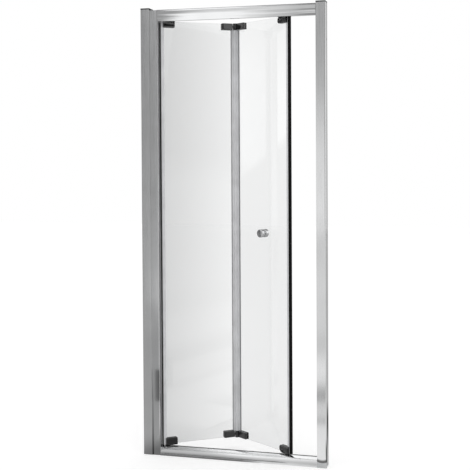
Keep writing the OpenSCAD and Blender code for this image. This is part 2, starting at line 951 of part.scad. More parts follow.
// Socket-head screw from the back plate into the front jaw, with the head's top at y1
module clamp_screw(x, y1, z) {
    difference() {
        union() {
            rod_y([x, -jaw_y - m5_bite + 0.5, z], m5_r, jaw_y + m5_bite + y1 - 1);
            rod_y([x, y1 - m5_head_h, z], m5_head_r, m5_head_h - 0.2);
        }
        translate([x, y1 - 1.6, z])
            rotate([-90, 0, 0])
                cylinder(h = 3, r = 1.8, $fn = 6);
    }
}

pad_inset = 1;
pivot_ends = [3, 3];
slider_ends = [18, 6];

module bottom_pivot_clamp() {
    color("dimgray")
        on_fixed_panel()
            clamp_body(pivot_ends, 0);
}
module top_pivot_clamp() {
    color("dimgray")
        on_fixed_panel()
            at_top(clamp_z0, clamp_z1)
                clamp_body(pivot_ends, 0);
}
module bottom_pivot_clamp_plate() {
    color("dimgray")
        on_fixed_panel()
            clamp_plate(pivot_ends);
}
module top_pivot_clamp_plate() {
    color("dimgray")
        on_fixed_panel()
            at_top(clamp_z0, clamp_z1)
                clamp_plate(pivot_ends);
}
module pivot_clamp_pads() {
    color("black")
        on_fixed_panel() {
            clamp_pads(pivot_ends);
            at_top(clamp_z0, clamp_z1)
                clamp_pads(pivot_ends);
        }
}
module pivot_clamp_screws() {
    color("lightgray")
        on_fixed_panel()
            for (x = clamp_screw_x, z = clamp_screw_z)
                clamp_screw(x, plate_back_y, z);
}
module bottom_pivot_pin() {
    color("lightgray")
        on_fixed_panel()
            pivot_pin();
}
module top_pivot_pin() {
    color("lightgray")
        on_fixed_panel()
            at_top(clamp_z0, clamp_z1)
                pivot_pin();
}

// Clamps of the closing panel are the same pieces turned end for end about the slider pin
module on_slider_clamp() {
    on_closing_panel()
        translate([pitch, 0, 0])
            mirror([1, 0, 0])
                children();
}
lock_screw_inset = 15;
lock_screw_x = clamp_l - clamp_overhang - lock_screw_inset;
module bottom_slider_clamp() {
    color("dimgray")
        on_slider_clamp()
            clamp_body(slider_ends, lock_screw_x);
}
module top_slider_clamp() {
    color("dimgray")
        on_slider_clamp()
            at_top(clamp_z0, clamp_z1)
                clamp_body(slider_ends, lock_screw_x);
}
module bottom_slider_clamp_plate() {
    color("dimgray")
        on_slider_clamp()
            clamp_plate(slider_ends);
}
module top_slider_clamp_plate() {
    color("dimgray")
        on_slider_clamp()
            at_top(clamp_z0, clamp_z1)
                clamp_plate(slider_ends);
}
module slider_clamp_pads() {
    color("black")
        on_slider_clamp() {
            clamp_pads(slider_ends);
            at_top(clamp_z0, clamp_z1)
                clamp_pads(slider_ends);
        }
}
module slider_clamp_screws() {
    color("lightgray")
        on_slider_clamp()
            for (x = clamp_screw_x, z = clamp_screw_z)
                clamp_screw(x, plate_back_y, z);
}
module lock_screw() {
    difference() {
        rod_y([lock_screw_x, -jaw_front_y - boss_t + 0.3, clamp_z0 + clamp_h / 2], lock_screw_r, 2.4);
        translate([lock_screw_x, -jaw_front_y - boss_t - 1, clamp_z0 + clamp_h / 2])
            rotate([-90, 0, 0])
                cylinder(h = 2.2, r = 1.5, $fn = 6);
    }
}
module slider_lock_screws() {
    color("lightgray")
        on_slider_clamp() {
            lock_screw();
            at_top(clamp_z0, clamp_z1)
                lock_screw();
        }
}
module bottom_slider_pin() {
    color("lightgray")
        on_slider_clamp()
            pivot_pin();
}
module top_slider_pin() {
    color("lightgray")
        on_slider_clamp()
            at_top(clamp_z0, clamp_z1)
                pivot_pin();
}

// ---- folding hinge --------------------------------------------------------------------------

// Heights of the three knuckles over the leaf's lower edge
knuckle_z = [0, leaf_h * 0.31, leaf_h * 0.69, leaf_h];
leaf_inner_x = barrel_r + 1;
bush_r = hinge_pin_d / 2 + turn_gap + bush_t;

// Jaw of a leaf with its pin axis at x = 0, y = -hinge_offset, reaching towards +X
module leaf_jaw() {
    z = leaf_z0;
    difference() {
        intersection() {
            along_x(leaf_inner_x, leaf_l)
                polygon([
                    [-jaw_y, z],
                    [-jaw_y, z + leaf_h],
                    [-jaw_front_y + 2, z + leaf_h],
                    [-jaw_front_y, z + leaf_h - 3],
                    [-jaw_front_y, z + 3],
                    [-jaw_front_y + 2, z]
                ]);
            along_z(z - 1, z + leaf_h + 1)
                polygon([
                    [leaf_inner_x, -jaw_y],
                    [leaf_inner_x, -jaw_front_y],
                    [leaf_l - 2 * jaw_bevel, -jaw_front_y],
                    [leaf_l, -jaw_front_y + jaw_bevel],
                    [leaf_l, -jaw_y]
                ]);
            along_y(-jaw_front_y - 1, 0)
                round_rect(0, leaf_l, z, z + leaf_h, 3);
        }
        // shallow panel in the leaf's face
        along_y(-jaw_front_y - 1, -jaw_front_y + 0.6)
            round_rect(leaf_inner_x + 7, leaf_l - 7, z + 7, z + leaf_h - 7, 2);
        for (x = leaf_screw_x)
            rod_y([x, -jaw_y - m5_bite, z + leaf_h / 2], m5_r + screw_gap, m5_bite + 1);
    }
}

// One knuckle from z0 to z1 over the leaf's lower edge, with its arm to the jaw
module knuckle(z0, z1, bore_r) {
    z = leaf_z0;
    front_y = hinge_offset - jaw_front_y;
    back_y = hinge_offset - jaw_y;
    translate([0, -hinge_offset, 0])
        along_z(z + z0, z + z1)
            difference() {
                union() {
                    circle(barrel_r);
                    polygon([
                        [0, front_y],
                        [0, barrel_r - 0.4],
                        [3, barrel_r - 0.2],
                        [leaf_inner_x + 1, back_y],
                        [leaf_inner_x + 1, front_y]
                    ]);
                }
                circle(bore_r);
            }
}

// Leaf of the fixed-side panel has the middle knuckle, which holds the pin fast
module inner_leaf() {
    mirror([1, 0, 0]) {
        leaf_jaw();
        knuckle(knuckle_z[1] + knuckle_gap / 2, knuckle_z[2] - knuckle_gap / 2, hinge_pin_d / 2 + seat_gap);
    }
}

// Leaf of the closing panel has the two outer knuckles, each with a bush
module outer_leaf() {
    leaf_jaw();
    knuckle(knuckle_z[0], knuckle_z[1] - knuckle_gap / 2, bush_r + seat_gap);
    knuckle(knuckle_z[2] + knuckle_gap / 2, knuckle_z[3], bush_r + seat_gap);
}

module leaf_plate() {
    z = leaf_z0;
    difference() {
        along_y(jaw_y, plate_back_y)
            round_rect(leaf_inner_x, leaf_l, z, z + leaf_h, 3);
        for (x = leaf_screw_x) {
            rod_y([x, 0, z + leaf_h / 2], m5_r + screw_gap, plate_back_y + 1);
            translate([x, plate_back_y - m5_head_h, z + leaf_h / 2])
                rotate([-90, 0, 0])
                    cylinder(h = m5_head_h + 1, r = m5_head_r + screw_gap);
        }
    }
}

module leaf_pads() {
    for (s = [-1, 1])
        difference() {
            box([leaf_inner_x + 2, s > 0 ? glass_y : -jaw_y, glass_z0],
                [leaf_l - 2, s > 0 ? jaw_y : -glass_y, leaf_z0 + leaf_h - 2]);
            for (x = leaf_screw_x)
                rod_y([x, -jaw_y - 1, leaf_z0 + leaf_h / 2], glass_hole_d / 2, 2 * jaw_y + 2);
        }
}

// Places of a piece at both ends of the fixed-side panel and of the closing panel
module on_inner_leaves() {
    on_fixed_panel()
        translate([pitch, 0, 0]) {
            mirror([1, 0, 0])
                children();
            at_top(leaf_z0, leaf_z1)
                mirror([1, 0, 0])
                    children();
        }
}
module on_outer_leaves() {
    on_closing_panel() {
        children();
        at_top(leaf_z0, leaf_z1)
            children();
    }
}

module bottom_inner_hinge_leaf() {
    color("dimgray")
        on_fixed_panel()
            translate([pitch, 0, 0])
                inner_leaf();
}
module top_inner_hinge_leaf() {
    color("dimgray")
        on_fixed_panel()
            translate([pitch, 0, 0])
                at_top(leaf_z0, leaf_z1)
                    inner_leaf();
}
module bottom_outer_hinge_leaf() {
    color("dimgray")
        on_closing_panel()
            outer_leaf();
}
module top_outer_hinge_leaf() {
    color("dimgray")
        on_closing_panel()
            at_top(leaf_z0, leaf_z1)
                outer_leaf();
}
module inner_hinge_plates() {
    color("dimgray")
        on_inner_leaves()
            leaf_plate();
}
module outer_hinge_plates() {
    color("dimgray")
        on_outer_leaves()
            leaf_plate();
}
module inner_hinge_pads() {
    color("black")
        on_inner_leaves()
            leaf_pads();
}
module outer_hinge_pads() {
    color("black")
        on_outer_leaves()
            leaf_pads();
}
module inner_hinge_screws() {
    color("lightgray")
        on_inner_leaves()
            for (x = leaf_screw_x)
                clamp_screw(x, plate_back_y, leaf_z0 + leaf_h / 2);
}
module outer_hinge_screws() {
    color("lightgray")
        on_outer_leaves()
            for (x = leaf_screw_x)
                clamp_screw(x, plate_back_y, leaf_z0 + leaf_h / 2);
}

pin_end = 0.4;
module folding_hinge_pins() {
    color("lightgray")
        on_hinge_axis()
            for (z = [leaf_z0, leaf_z1 - leaf_h])
                translate([0, 0, z + pin_end])
                    cylinder(h = leaf_h - 2 * pin_end, r = hinge_pin_d / 2);
}

module folding_hinge_bushes() {
    color("whitesmoke")
        on_hinge_axis()
            for (z = [leaf_z0, leaf_z1 - leaf_h], k = [0, 2])
                translate([0, 0, z + knuckle_z[k] + (k > 0 ? knuckle_gap / 2 : 0)])
                    difference() {
                        cylinder(h = knuckle_z[k + 1] - knuckle_z[k] - knuckle_gap / 2, r = bush_r);
                        translate([0, 0, -1])
                            cylinder(h = leaf_h, r = hinge_pin_d / 2 + turn_gap);
                    }
}

// ---- seals of the panels --------------------------------------------------------------------

// U clip over a glass edge at x = 0, reaching over the glass towards +X, with an end wall
module edge_clip(leg, end_wall) {
    outer = glass_y + seal_t;
    inner = glass_y + seat_gap;
    difference() {
        rect(-end_wall, leg, -outer, outer);
        rect(-seat_gap, leg + 1, -inner, inner);
    }
}

// Seal on the fixed-side panel's outer edge, cut back where the clamps are
module fixed_side_edge_seal() {
    x0 = -pivot_inset + edge_wall;
    cut_x = -clamp_overhang - seat_gap;
    cut_y = glass_y + 2 * seal_t;
    color("gray")
        on_fixed_panel()
            difference() {
                along_z(glass_z0, glass_z1)
                    translate([x0, 0])
                        edge_clip(seal_leg + 1, edge_wall);
                for (z = [glass_z0 - 1, clamp_z1 - clamp_h - 0.5])
                    box([cut_x, -cut_y, z], [pitch, cut_y, z + clamp_h - clamp_base_t + 1.5]);
            }
}

// Carrier on the closing panel's edge that holds the magnet strip
module magnet_carrier() {
    cut_x = pitch + clamp_overhang + seat_gap;
    cut_y = glass_y + 2 * seal_t;
    color("gray")
        on_closing_panel()
            difference() {
                along_z(glass_z0, glass_z1)
                    translate([closing_glass_x1, 0])
                        mirror([1, 0])
                            edge_clip(seal_leg, carrier_wall - seat_gap);
                for (z = [glass_z0 - 1, clamp_z1 - clamp_h - 0.5])
                    box([pitch / 2, -cut_y, z], [cut_x, cut_y, z + clamp_h - clamp_base_t + 1.5]);
            }
}

module door_magnet_strip() {
    color([0.04, 0.04, 0.04])
        on_closing_panel()
            along_z(glass_z0, glass_z1)
                difference() {
                    round_rect(pitch + magnet_x0, pitch + slider_inset, -magnet_w / 2 + 1, magnet_w / 2 - 1, 1.5);
                    for (s = [-1, 1])
                        translate([pitch + magnet_x0 + 5, s * (magnet_w / 2 - 1)])
                            circle(0.8, $fn = 24);
                }
}

seal_z0 = leaf_z0 + leaf_h + 0.5;
seal_z1 = leaf_z1 - leaf_h - 0.5;
fold_leg = 10;
fold_wall = 1.4;
// Clip on a glass edge beside the folding axis, as (X, Y) with that axis at y = -hinge_offset
module fold_clip() {
    translate([glass_gap, 0])
        edge_clip(fold_leg, fold_wall);
}

// Round hollow seal on the folding axis, carried by the fixed-side panel's edge
module folding_seal_bulb() {
    web_y = hinge_offset - glass_y - seal_t / 2;
    color("gray")
        on_fixed_panel()
            translate([pitch, 0, 0])
                mirror([1, 0, 0])
                    along_z(seal_z0, seal_z1) {
                        fold_clip();
                        translate([0, -hinge_offset])
                            difference() {
                                union() {
                                    circle(bulb_r);
                                    polygon([[1, 4], [5, 2], [glass_gap + 5, web_y],
                                             [glass_gap - fold_wall / 2, web_y]]);
                                }
                                circle(bulb_r - 1.6);
                            }
                    }
}

// Curved cheek around the round seal, carried by the closing panel's edge
cheek_t = 1.5;
cheek_from = -30;
cheek_to = 78;
module folding_seal_cheek() {
    r0 = bulb_r + bulb_gap;
    r1 = r0 + cheek_t;
    web_y = hinge_offset - glass_y - seal_t / 2;
    reach = 2 * r1;
    color("gray")
        on_closing_panel()
            along_z(seal_z0, seal_z1) {
                fold_clip();
                translate([0, -hinge_offset])
                    difference() {
                        union() {
                            intersection() {
                                circle(r1);
                                polygon([[0, 0], reach * [cos(cheek_from), sin(cheek_from)], [reach, 0],
                                         [reach, reach], reach * [cos(cheek_to), sin(cheek_to)]]);
                            }
                            polygon([[5, 5], [r0 + 0.6, 2], [glass_gap + 5, web_y],
                                     [glass_gap - fold_wall / 2, web_y]]);
                        }
                        circle(r0);
                    }
            }
}

// ---- knobs ----------------------------------------------------------------------------------

washer_t = 1;
neck_r = 13;
// Knob turned from solid, as a (radius, height) outline over the glass, with a blind bore
module knob() {
    r = knob_d / 2;
    difference() {
        translate([0, 0, washer_t])
            rotate_extrude($fn = 96)
                polygon([
                    [0, 0],
                    [neck_r, 0],
                    [neck_r, 2],
                    [r, 3.5],
                    [r, knob_l - washer_t - 3],
                    [r - 3, knob_l - washer_t],
                    [0, knob_l - washer_t]
                ]);
        cylinder(h = knob_l - 5, r = stud_r + screw_gap);
    }
}
module on_knob(side) {
    on_closing_panel()
        translate([knob_x, side * glass_y, knob_z])
            rotate([-side * 90, 0, 0])
                children();
}
module outside_knob() {
    color("silver")
        on_knob(-1)
            knob();
}
module inside_knob() {
    color("silver")
        on_knob(1)
            knob();
}
module knob_stud() {
    stud_l = 2 * (knob_l - 6) + glass_t;
    color("lightgray")
        on_closing_panel()
            rod_y([knob_x, -stud_l / 2, knob_z], stud_r, stud_l);
}
module knob_washers() {
    color("white")
        for (side = [-1, 1])
            on_knob(side)
                difference() {
                    cylinder(h = washer_t, r = neck_r);
                    translate([0, 0, -1])
                        cylinder(h = washer_t + 2, r = stud_r + screw_gap);
                }
}

// ---- nodes ----------------------------------------------------------------------------------

left_wall_channel();
right_wall_channel();
hinge_post();
latch_post();
header_rail();
sill_rail();
left_top_cap();
right_top_cap();
right_foot_cap();
rail_screws();
adjusting_screws();
screw_cover_caps();
pivot_side_seal();
latch_magnet_strip();
top_pivot_block();
bottom_pivot_block();
pivot_block_screws();
fixed_side_glass();
fixed_side_edge_seal();
top_pivot_clamp();
bottom_pivot_clamp();
top_pivot_clamp_plate();
bottom_pivot_clamp_plate();
pivot_clamp_pads();
pivot_clamp_screws();
top_pivot_pin();
bottom_pivot_pin();
top_inner_hinge_leaf();
bottom_inner_hinge_leaf();
inner_hinge_plates();
inner_hinge_pads();
inner_hinge_screws();
folding_hinge_pins();
folding_seal_bulb();
closing_side_glass();
folding_seal_cheek();
top_outer_hinge_leaf();
bottom_outer_hinge_leaf();
outer_hinge_plates();
outer_hinge_pads();
outer_hinge_screws();
folding_hinge_bushes();
top_slider_clamp();
bottom_slider_clamp();
top_slider_clamp_plate();
bottom_slider_clamp_plate();
slider_clamp_pads();
slider_clamp_screws();
slider_lock_screws();
top_slider_pin();
bottom_slider_pin();
magnet_carrier();
door_magnet_strip();
outside_knob();
inside_knob();
knob_stud();
knob_washers();
top_sliding_shoe();
bottom_sliding_shoe();
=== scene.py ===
"""Dresses the bifold shower door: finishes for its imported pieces, studio light and the camera."""

from math import cos, radians, sin

import bpy
import numpy as np
from bpy.props import FloatProperty, FloatVectorProperty, PointerProperty
from mathutils import Matrix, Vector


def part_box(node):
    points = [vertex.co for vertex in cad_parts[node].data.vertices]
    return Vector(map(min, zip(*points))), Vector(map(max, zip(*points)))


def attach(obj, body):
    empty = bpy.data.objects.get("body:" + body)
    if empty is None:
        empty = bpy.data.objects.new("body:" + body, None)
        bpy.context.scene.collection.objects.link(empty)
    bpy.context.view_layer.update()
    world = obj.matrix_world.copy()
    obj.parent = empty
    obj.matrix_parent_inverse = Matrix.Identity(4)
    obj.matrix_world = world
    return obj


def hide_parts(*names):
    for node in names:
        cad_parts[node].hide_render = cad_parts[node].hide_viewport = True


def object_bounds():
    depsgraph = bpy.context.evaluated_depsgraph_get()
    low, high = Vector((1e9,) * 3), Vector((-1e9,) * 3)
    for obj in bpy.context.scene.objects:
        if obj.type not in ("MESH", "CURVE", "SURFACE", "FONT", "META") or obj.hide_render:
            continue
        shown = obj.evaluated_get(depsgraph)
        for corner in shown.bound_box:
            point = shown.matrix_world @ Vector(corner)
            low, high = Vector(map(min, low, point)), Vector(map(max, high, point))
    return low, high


bl_info = {
    "name": "Bifold Shower Door",
    "version": (1, 0, 0),
    "blender": (4, 5, 0),
    "location": "View3D > Sidebar > Shower Door",
    "description": "Finishes, light and camera for a framed bifold shower door",
    "category": "Object",
}

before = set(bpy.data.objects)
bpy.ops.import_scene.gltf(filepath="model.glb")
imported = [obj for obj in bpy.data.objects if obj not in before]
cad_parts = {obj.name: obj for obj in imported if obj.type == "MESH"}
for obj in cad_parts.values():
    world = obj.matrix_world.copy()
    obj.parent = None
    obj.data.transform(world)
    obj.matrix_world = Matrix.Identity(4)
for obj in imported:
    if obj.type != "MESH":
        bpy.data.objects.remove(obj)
CAD_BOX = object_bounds()
# Width of the picture in pixels and of the camera's sensor in millimetres
IMAGE_PX = 470
SENSOR_MM = 36.0


def colour(name, description, default):
    """A colour setting with its swatch in the sidebar."""
    return FloatVectorProperty(
        name=name, description=description, default=default, size=3, min=0, max=1, subtype="COLOR"
    )


def amount(name, description, default):
    """A share between 0 and 1 with a slider."""
    return FloatProperty(
        name=name, description=description, default=default, min=0, max=1, subtype="FACTOR"
    )


class FrameFinish(bpy.types.PropertyGroup):
    """Finish of the aluminium frame."""

    light: colour("Light tone", "Brighter tone of the aluminium", (0.765, 0.77, 0.775))
    dark: colour("Dark tone", "Darker tone of the aluminium", (0.70, 0.705, 0.71))
    # The latch side's tones are the aluminium's tones lightened, as painted light
    latch_lit_bright: colour(
        "Latch side light tone", "Brighter tone of the latch side's channel", (0.88, 0.885, 0.89)
    )
    latch_lit_dim: colour(
        "Latch side dark tone", "Darker tone of the latch side's channel", (0.82, 0.825, 0.83)
    )
    # The posts' tones are the aluminium's tones darkened, as painted shade
    post_shaded_bright: colour("Post light tone", "Brighter tone of the posts", (0.70, 0.705, 0.71))
    post_shaded_dim: colour("Post dark tone", "Darker tone of the posts", (0.63, 0.635, 0.64))
    satin: amount("Satin", "Roughness of the channels and posts", 0.11)
    polish: amount("Polish", "Roughness of the header", 0.06)
    sill: amount("Sill", "Roughness of the sill", 0.13)


class GlassFinish(bpy.types.PropertyGroup):
    """Finish of the glass panels."""

    # The glass is made darker towards the hinge post, as painted shade
    hinge_side_shade: colour(
        "Hinge side", "What the glass lets through beside the hinge post", (0.685, 0.69, 0.69)
    )
    fold_side: colour(
        "Fold side", "What the glass lets through from the fold on", (0.93, 0.935, 0.935)
    )
    edge: colour("Edge tint", "Tint of the ground edges", (0.10, 0.15, 0.14))


class HardwareFinish(bpy.types.PropertyGroup):
    """Finish of the clamps, hinges, knobs and seals."""

    clamp: colour("Clamp", "Dark plating of the clamps and hinges", (0.005, 0.005, 0.0055))
    chrome: colour("Chrome", "Plating of the knobs", (0.82, 0.82, 0.83))
    seal: colour("Seal", "Grey seals on the glass", (0.88, 0.885, 0.90))
    black: colour("Black", "Black seal and magnet strips", (0.003, 0.003, 0.0032))


class StudioSettings(bpy.types.PropertyGroup):
    """Camera and light of the picture."""

    camera_at: FloatVectorProperty(
        name="Camera", description="Place of the camera", size=3, unit="LENGTH",
        default=(0.99483, -3.77243, 1.25983),
    )
    camera_yaw: FloatProperty(
        name="Yaw", description="Turn of the camera towards the hinge side", unit="ROTATION",
        default=radians(14.6467),
    )
    camera_pitch: FloatProperty(
        name="Pitch", description="Tilt of the camera below level", unit="ROTATION",
        default=radians(1.4774),
    )
    camera_roll: FloatProperty(
        name="Roll", description="Roll of the camera", unit="ROTATION", default=radians(0.3237)
    )
    focal_px: FloatProperty(
        name="Focal length", description="Focal length in pixels of the picture", default=960.59
    )
    centre_rise: FloatProperty(
        name="Rise", description="How far the optical centre is above the picture's centre, in pixels",
        default=58.94,
    )
    key_power: FloatProperty(
        name="Key", description="Power of the key lamp", unit="POWER", default=20.0
    )
    fill_power: FloatProperty(
        name="Fill", description="Power of the fill lamp", unit="POWER", default=8.0
    )
    ambient: amount("Ambient", "Strength of the light from all around", 0.75)


class DoorSettings(bpy.types.PropertyGroup):
    """All settings of the shower door."""

    frame_finish: PointerProperty(type=FrameFinish)
    glass: PointerProperty(type=GlassFinish)
    hardware: PointerProperty(type=HardwareFinish)
    studio: PointerProperty(type=StudioSettings)


# ---- materials ------------------------------------------------------------------------------


# Turn of the folded panels
FOLD = radians(35.0)

# Lengths and depths are in metres.
# Aluminium: fineness of its die lines across the piece and what share of that they have along it,
# their depth, how much they vary the roughness, and the fineness of its cloudy tone
DIE_LINES = 900.0
DIE_STRETCH = 0.012
DIE_DEPTH = 0.0000015
DIE_SPREAD = 0.03
DIE_CLOUD = 7.0
# Painted shade in the step between the hinge post and its channel: how far it reaches over the post
# and up, how much it covers at the foot, and its tone
STEP_SHADE_WIDTH = 0.008
STEP_SHADE_HEIGHT = 0.32
STEP_SHADE_COVER = 0.9
STEP_SHADE_TONE = (0.05, 0.05, 0.05)
# Painted shade along the header's upper edge: its width and tone
TOP_EDGE_SHADE = 0.0022
TOP_EDGE_SHADE_TONE = (0.30, 0.30, 0.31)
# Painted shade on the latch channel's front, over the hollow upper edge of the foot: its depth and
# tone, the distances in front of the doorway's middle at which it starts and is full, the foot's
# height at mid-width and how far its edge is hollowed
FOOT_SHADE_DEPTH = 0.014
FOOT_SHADE_TONE = (0.17, 0.17, 0.17)
FOOT_SHADE_FRONT = (0.020, 0.022)
FOOT_HEIGHT = 0.020
FOOT_HOLLOW = 0.004
# Painted shade at the end of each leg of the folding seal: its width, how much it covers and
# its tone
SEAL_SHADE = 0.0035
SEAL_SHADE_COVER = 0.5
SEAL_SHADE_TONE = (0.12, 0.12, 0.125)
# Moulded pieces: fineness of their grain and of their cloudy tone, and what share of the tone the
# cloud's darkest parts keep
GRAIN = 1400.0
GRAIN_CLOUD = 18.0
CLOUD_SHADE = 0.85
# Plastics and rubber that have no setting of their own
CAP_TONE = (0.030, 0.030, 0.032)
PALE_TONE = (0.70, 0.71, 0.72)
PAD_TONE = (0.02, 0.02, 0.02)
NYLON_TONE = (0.78, 0.78, 0.75)
WASHER_TONE = (0.62, 0.64, 0.64)
# Dark plating: strength of its gloss, and its clear coat
PLATING_GLOSS = 0.9
COAT = 0.9
COAT_ROUGHNESS = 0.06
# Gloss of the black seals, which stay dull
BLACK_GLOSS = 0.15
GLASS_IOR = 1.5
# Turned steel: fineness of its marks, darker and lighter tone, least and most roughness
STEEL_MARKS = 1100.0
STEEL_TONES = ((0.50, 0.50, 0.51), (0.66, 0.66, 0.67))
STEEL_ROUGHNESS = (0.22, 0.34)
# Chrome: fineness of its haze, what share of the tone its darkest parts keep, least and most
# roughness, the satin face's tone, and where that starts and is full, measured along the knob's
# axis from its face
HAZE = 60.0
HAZE_SHADE = 0.94
CHROME_ROUGHNESS = (0.05, 0.11)
FACE_TONE = (0.64, 0.64, 0.65)
FACE_DEPTH = (-0.0006, -0.0002)


class Finish:
    """A Principled material under construction, with short calls for its pattern nodes."""

    def __init__(self, name, **sockets):
        self.material = bpy.data.materials.new(name)
        self.material.use_nodes = True
        self.tree = self.material.node_tree
        self.shader = self.tree.nodes["Principled BSDF"]
        for socket, value in sockets.items():
            self.shader.inputs[socket.replace("_", " ")].default_value = value

    def node(self, kind, **values):
        """A node of that kind; names with a space in them are its sockets."""
        made = self.tree.nodes.new(kind)
        for key, value in values.items():
            if hasattr(made, key):
                setattr(made, key, value)
            else:
                made.inputs[key.replace("_", " ")].default_value = value
        return made

    def link(self, source, target):
        self.tree.links.new(source, target)

    def place(self, scale):
        """Object coordinates stretched by scale on each axis."""
        coordinates = self.node("ShaderNodeTexCoord")
        mapping = self.node("ShaderNodeMapping", Scale=scale)
        self.link(coordinates.outputs["Object"], mapping.inputs["Vector"])
        return mapping.outputs["Vector"]

    def noise(self, scale, detail=3.0, stretch=(1, 1, 1)):
        """Noise from 0 to 1 over the stretched object coordinates."""
        texture = self.node("ShaderNodeTexNoise", Scale=scale, Detail=detail)
        self.link(self.place(stretch), texture.inputs["Vector"])
        return texture.outputs["Fac"]

    def ranged(self, source, low, high):
        """Source from 0.3 to 0.7 spread over low to high."""
        spread = self.node("ShaderNodeMapRange", From_Min=0.3, From_Max=0.7, To_Min=low, To_Max=high)
        self.link(source, spread.inputs["Value"])
        return spread.outputs["Result"]

    def mixed(self, factor, first, second):
        """Colour between first and second by factor."""
        mix = self.node("ShaderNodeMix", data_type="RGBA")
        mix.inputs[6].default_value = (*first, 1)
        mix.inputs[7].default_value = (*second, 1)
        self.link(factor, mix.inputs[0])
        return mix.outputs[2]

    def roughness(self, source, low, high):
        self.link(self.ranged(source, low, high), self.shader.inputs["Roughness"])

    def base(self, source):
        self.link(source, self.shader.inputs["Base Color"])

    def bump(self, source, depth):
        """Raises the surface by up to depth metres where source is 1."""
        made = self.node("ShaderNodeBump", Strength=1.0, Distance=depth)
        self.link(source, made.inputs["Height"])
        self.link(made.outputs["Normal"], self.shader.inputs["Normal"])

    def reach(self, direction, start):
        """How far in metres the surface lies past a plane, along the plane's direction."""
        coordinates = self.node("ShaderNodeTexCoord")
        along = self.node("ShaderNodeVectorMath", operation="DOT_PRODUCT")
        along.inputs[1].default_value = direction
        self.link(coordinates.outputs["Object"], along.inputs[0])
        past = self.node("ShaderNodeMath", operation="SUBTRACT")
        past.inputs[1].default_value = start
        self.link(along.outputs["Value"], past.inputs[0])
        return past.outputs[0]

    def ramp(self, source, empty, full, strength=1.0):
        """0 where source is at empty or beyond, strength where it is at full or beyond."""
        slope = self.node("ShaderNodeMapRange", From_Min=empty, From_Max=full, To_Max=strength)
        self.link(source, slope.inputs["Value"])
        return slope.outputs["Result"]

    def both(self, first, second):
        """Product of two factors."""
        product = self.node("ShaderNodeMath", operation="MULTIPLY")
        self.link(first, product.inputs[0])
        self.link(second, product.inputs[1])
        return product.outputs[0]

    def over(self, factor, tone):
        """Lays a tone over the colour so far, by factor."""
        mix = self.node("ShaderNodeMix", data_type="RGBA")
        self.link(self.shader.inputs["Base Color"].links[0].from_socket, mix.inputs[6])
        mix.inputs[7].default_value = (*tone, 1)
        self.link(factor, mix.inputs[0])
        self.base(mix.outputs[2])

    def paint(self, *names):
        """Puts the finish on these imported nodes."""
        for name in names:
            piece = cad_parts[name]
            for slot in piece.material_slots:
                slot.material = self.material


def extruded(name, light, dark, rough, along):
    """Aluminium drawn along one axis, with fine die lines that run that way."""
    stretch = tuple(DIE_STRETCH if axis == along else 1.0 for axis in "XYZ")
    finish = Finish(name, Metallic=1.0)
    lines = finish.noise(DIE_LINES, 2.0, stretch)
    cloud = finish.noise(DIE_CLOUD, 2.0)
    finish.base(finish.mixed(finish.ranged(cloud, 0.0, 1.0), dark, light))
    finish.roughness(lines, rough - DIE_SPREAD, rough + DIE_SPREAD)
    finish.bump(lines, DIE_DEPTH)
    return finish


def moulded(name, base, rough, spread=0.06, depth=0.00001):
    """Moulded plastic or rubber with a fine even grain."""
    finish = Finish(name)
    grain = finish.noise(GRAIN, 2.0)
    cloud = finish.noise(GRAIN_CLOUD, 2.0)
    deeper = tuple(CLOUD_SHADE * part for part in base)
    finish.base(finish.mixed(finish.ranged(cloud, 0.0, 1.0), deeper, base))
    finish.roughness(grain, rough - spread, rough + spread)
    finish.bump(grain, depth)
    return finish


def corners(name):
    """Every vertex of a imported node, in metres."""
    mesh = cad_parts[name].data
    points = np.empty(3 * len(mesh.vertices))
    mesh.vertices.foreach_get("co", points)
    return points.reshape(-1, 3)


class Dresser(bpy.types.Operator):
    """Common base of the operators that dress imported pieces."""

    bl_options = {"REGISTER", "UNDO"}

    def execute(self, context):
        self.dress(context.scene.shower_door)
        return {"FINISHED"}


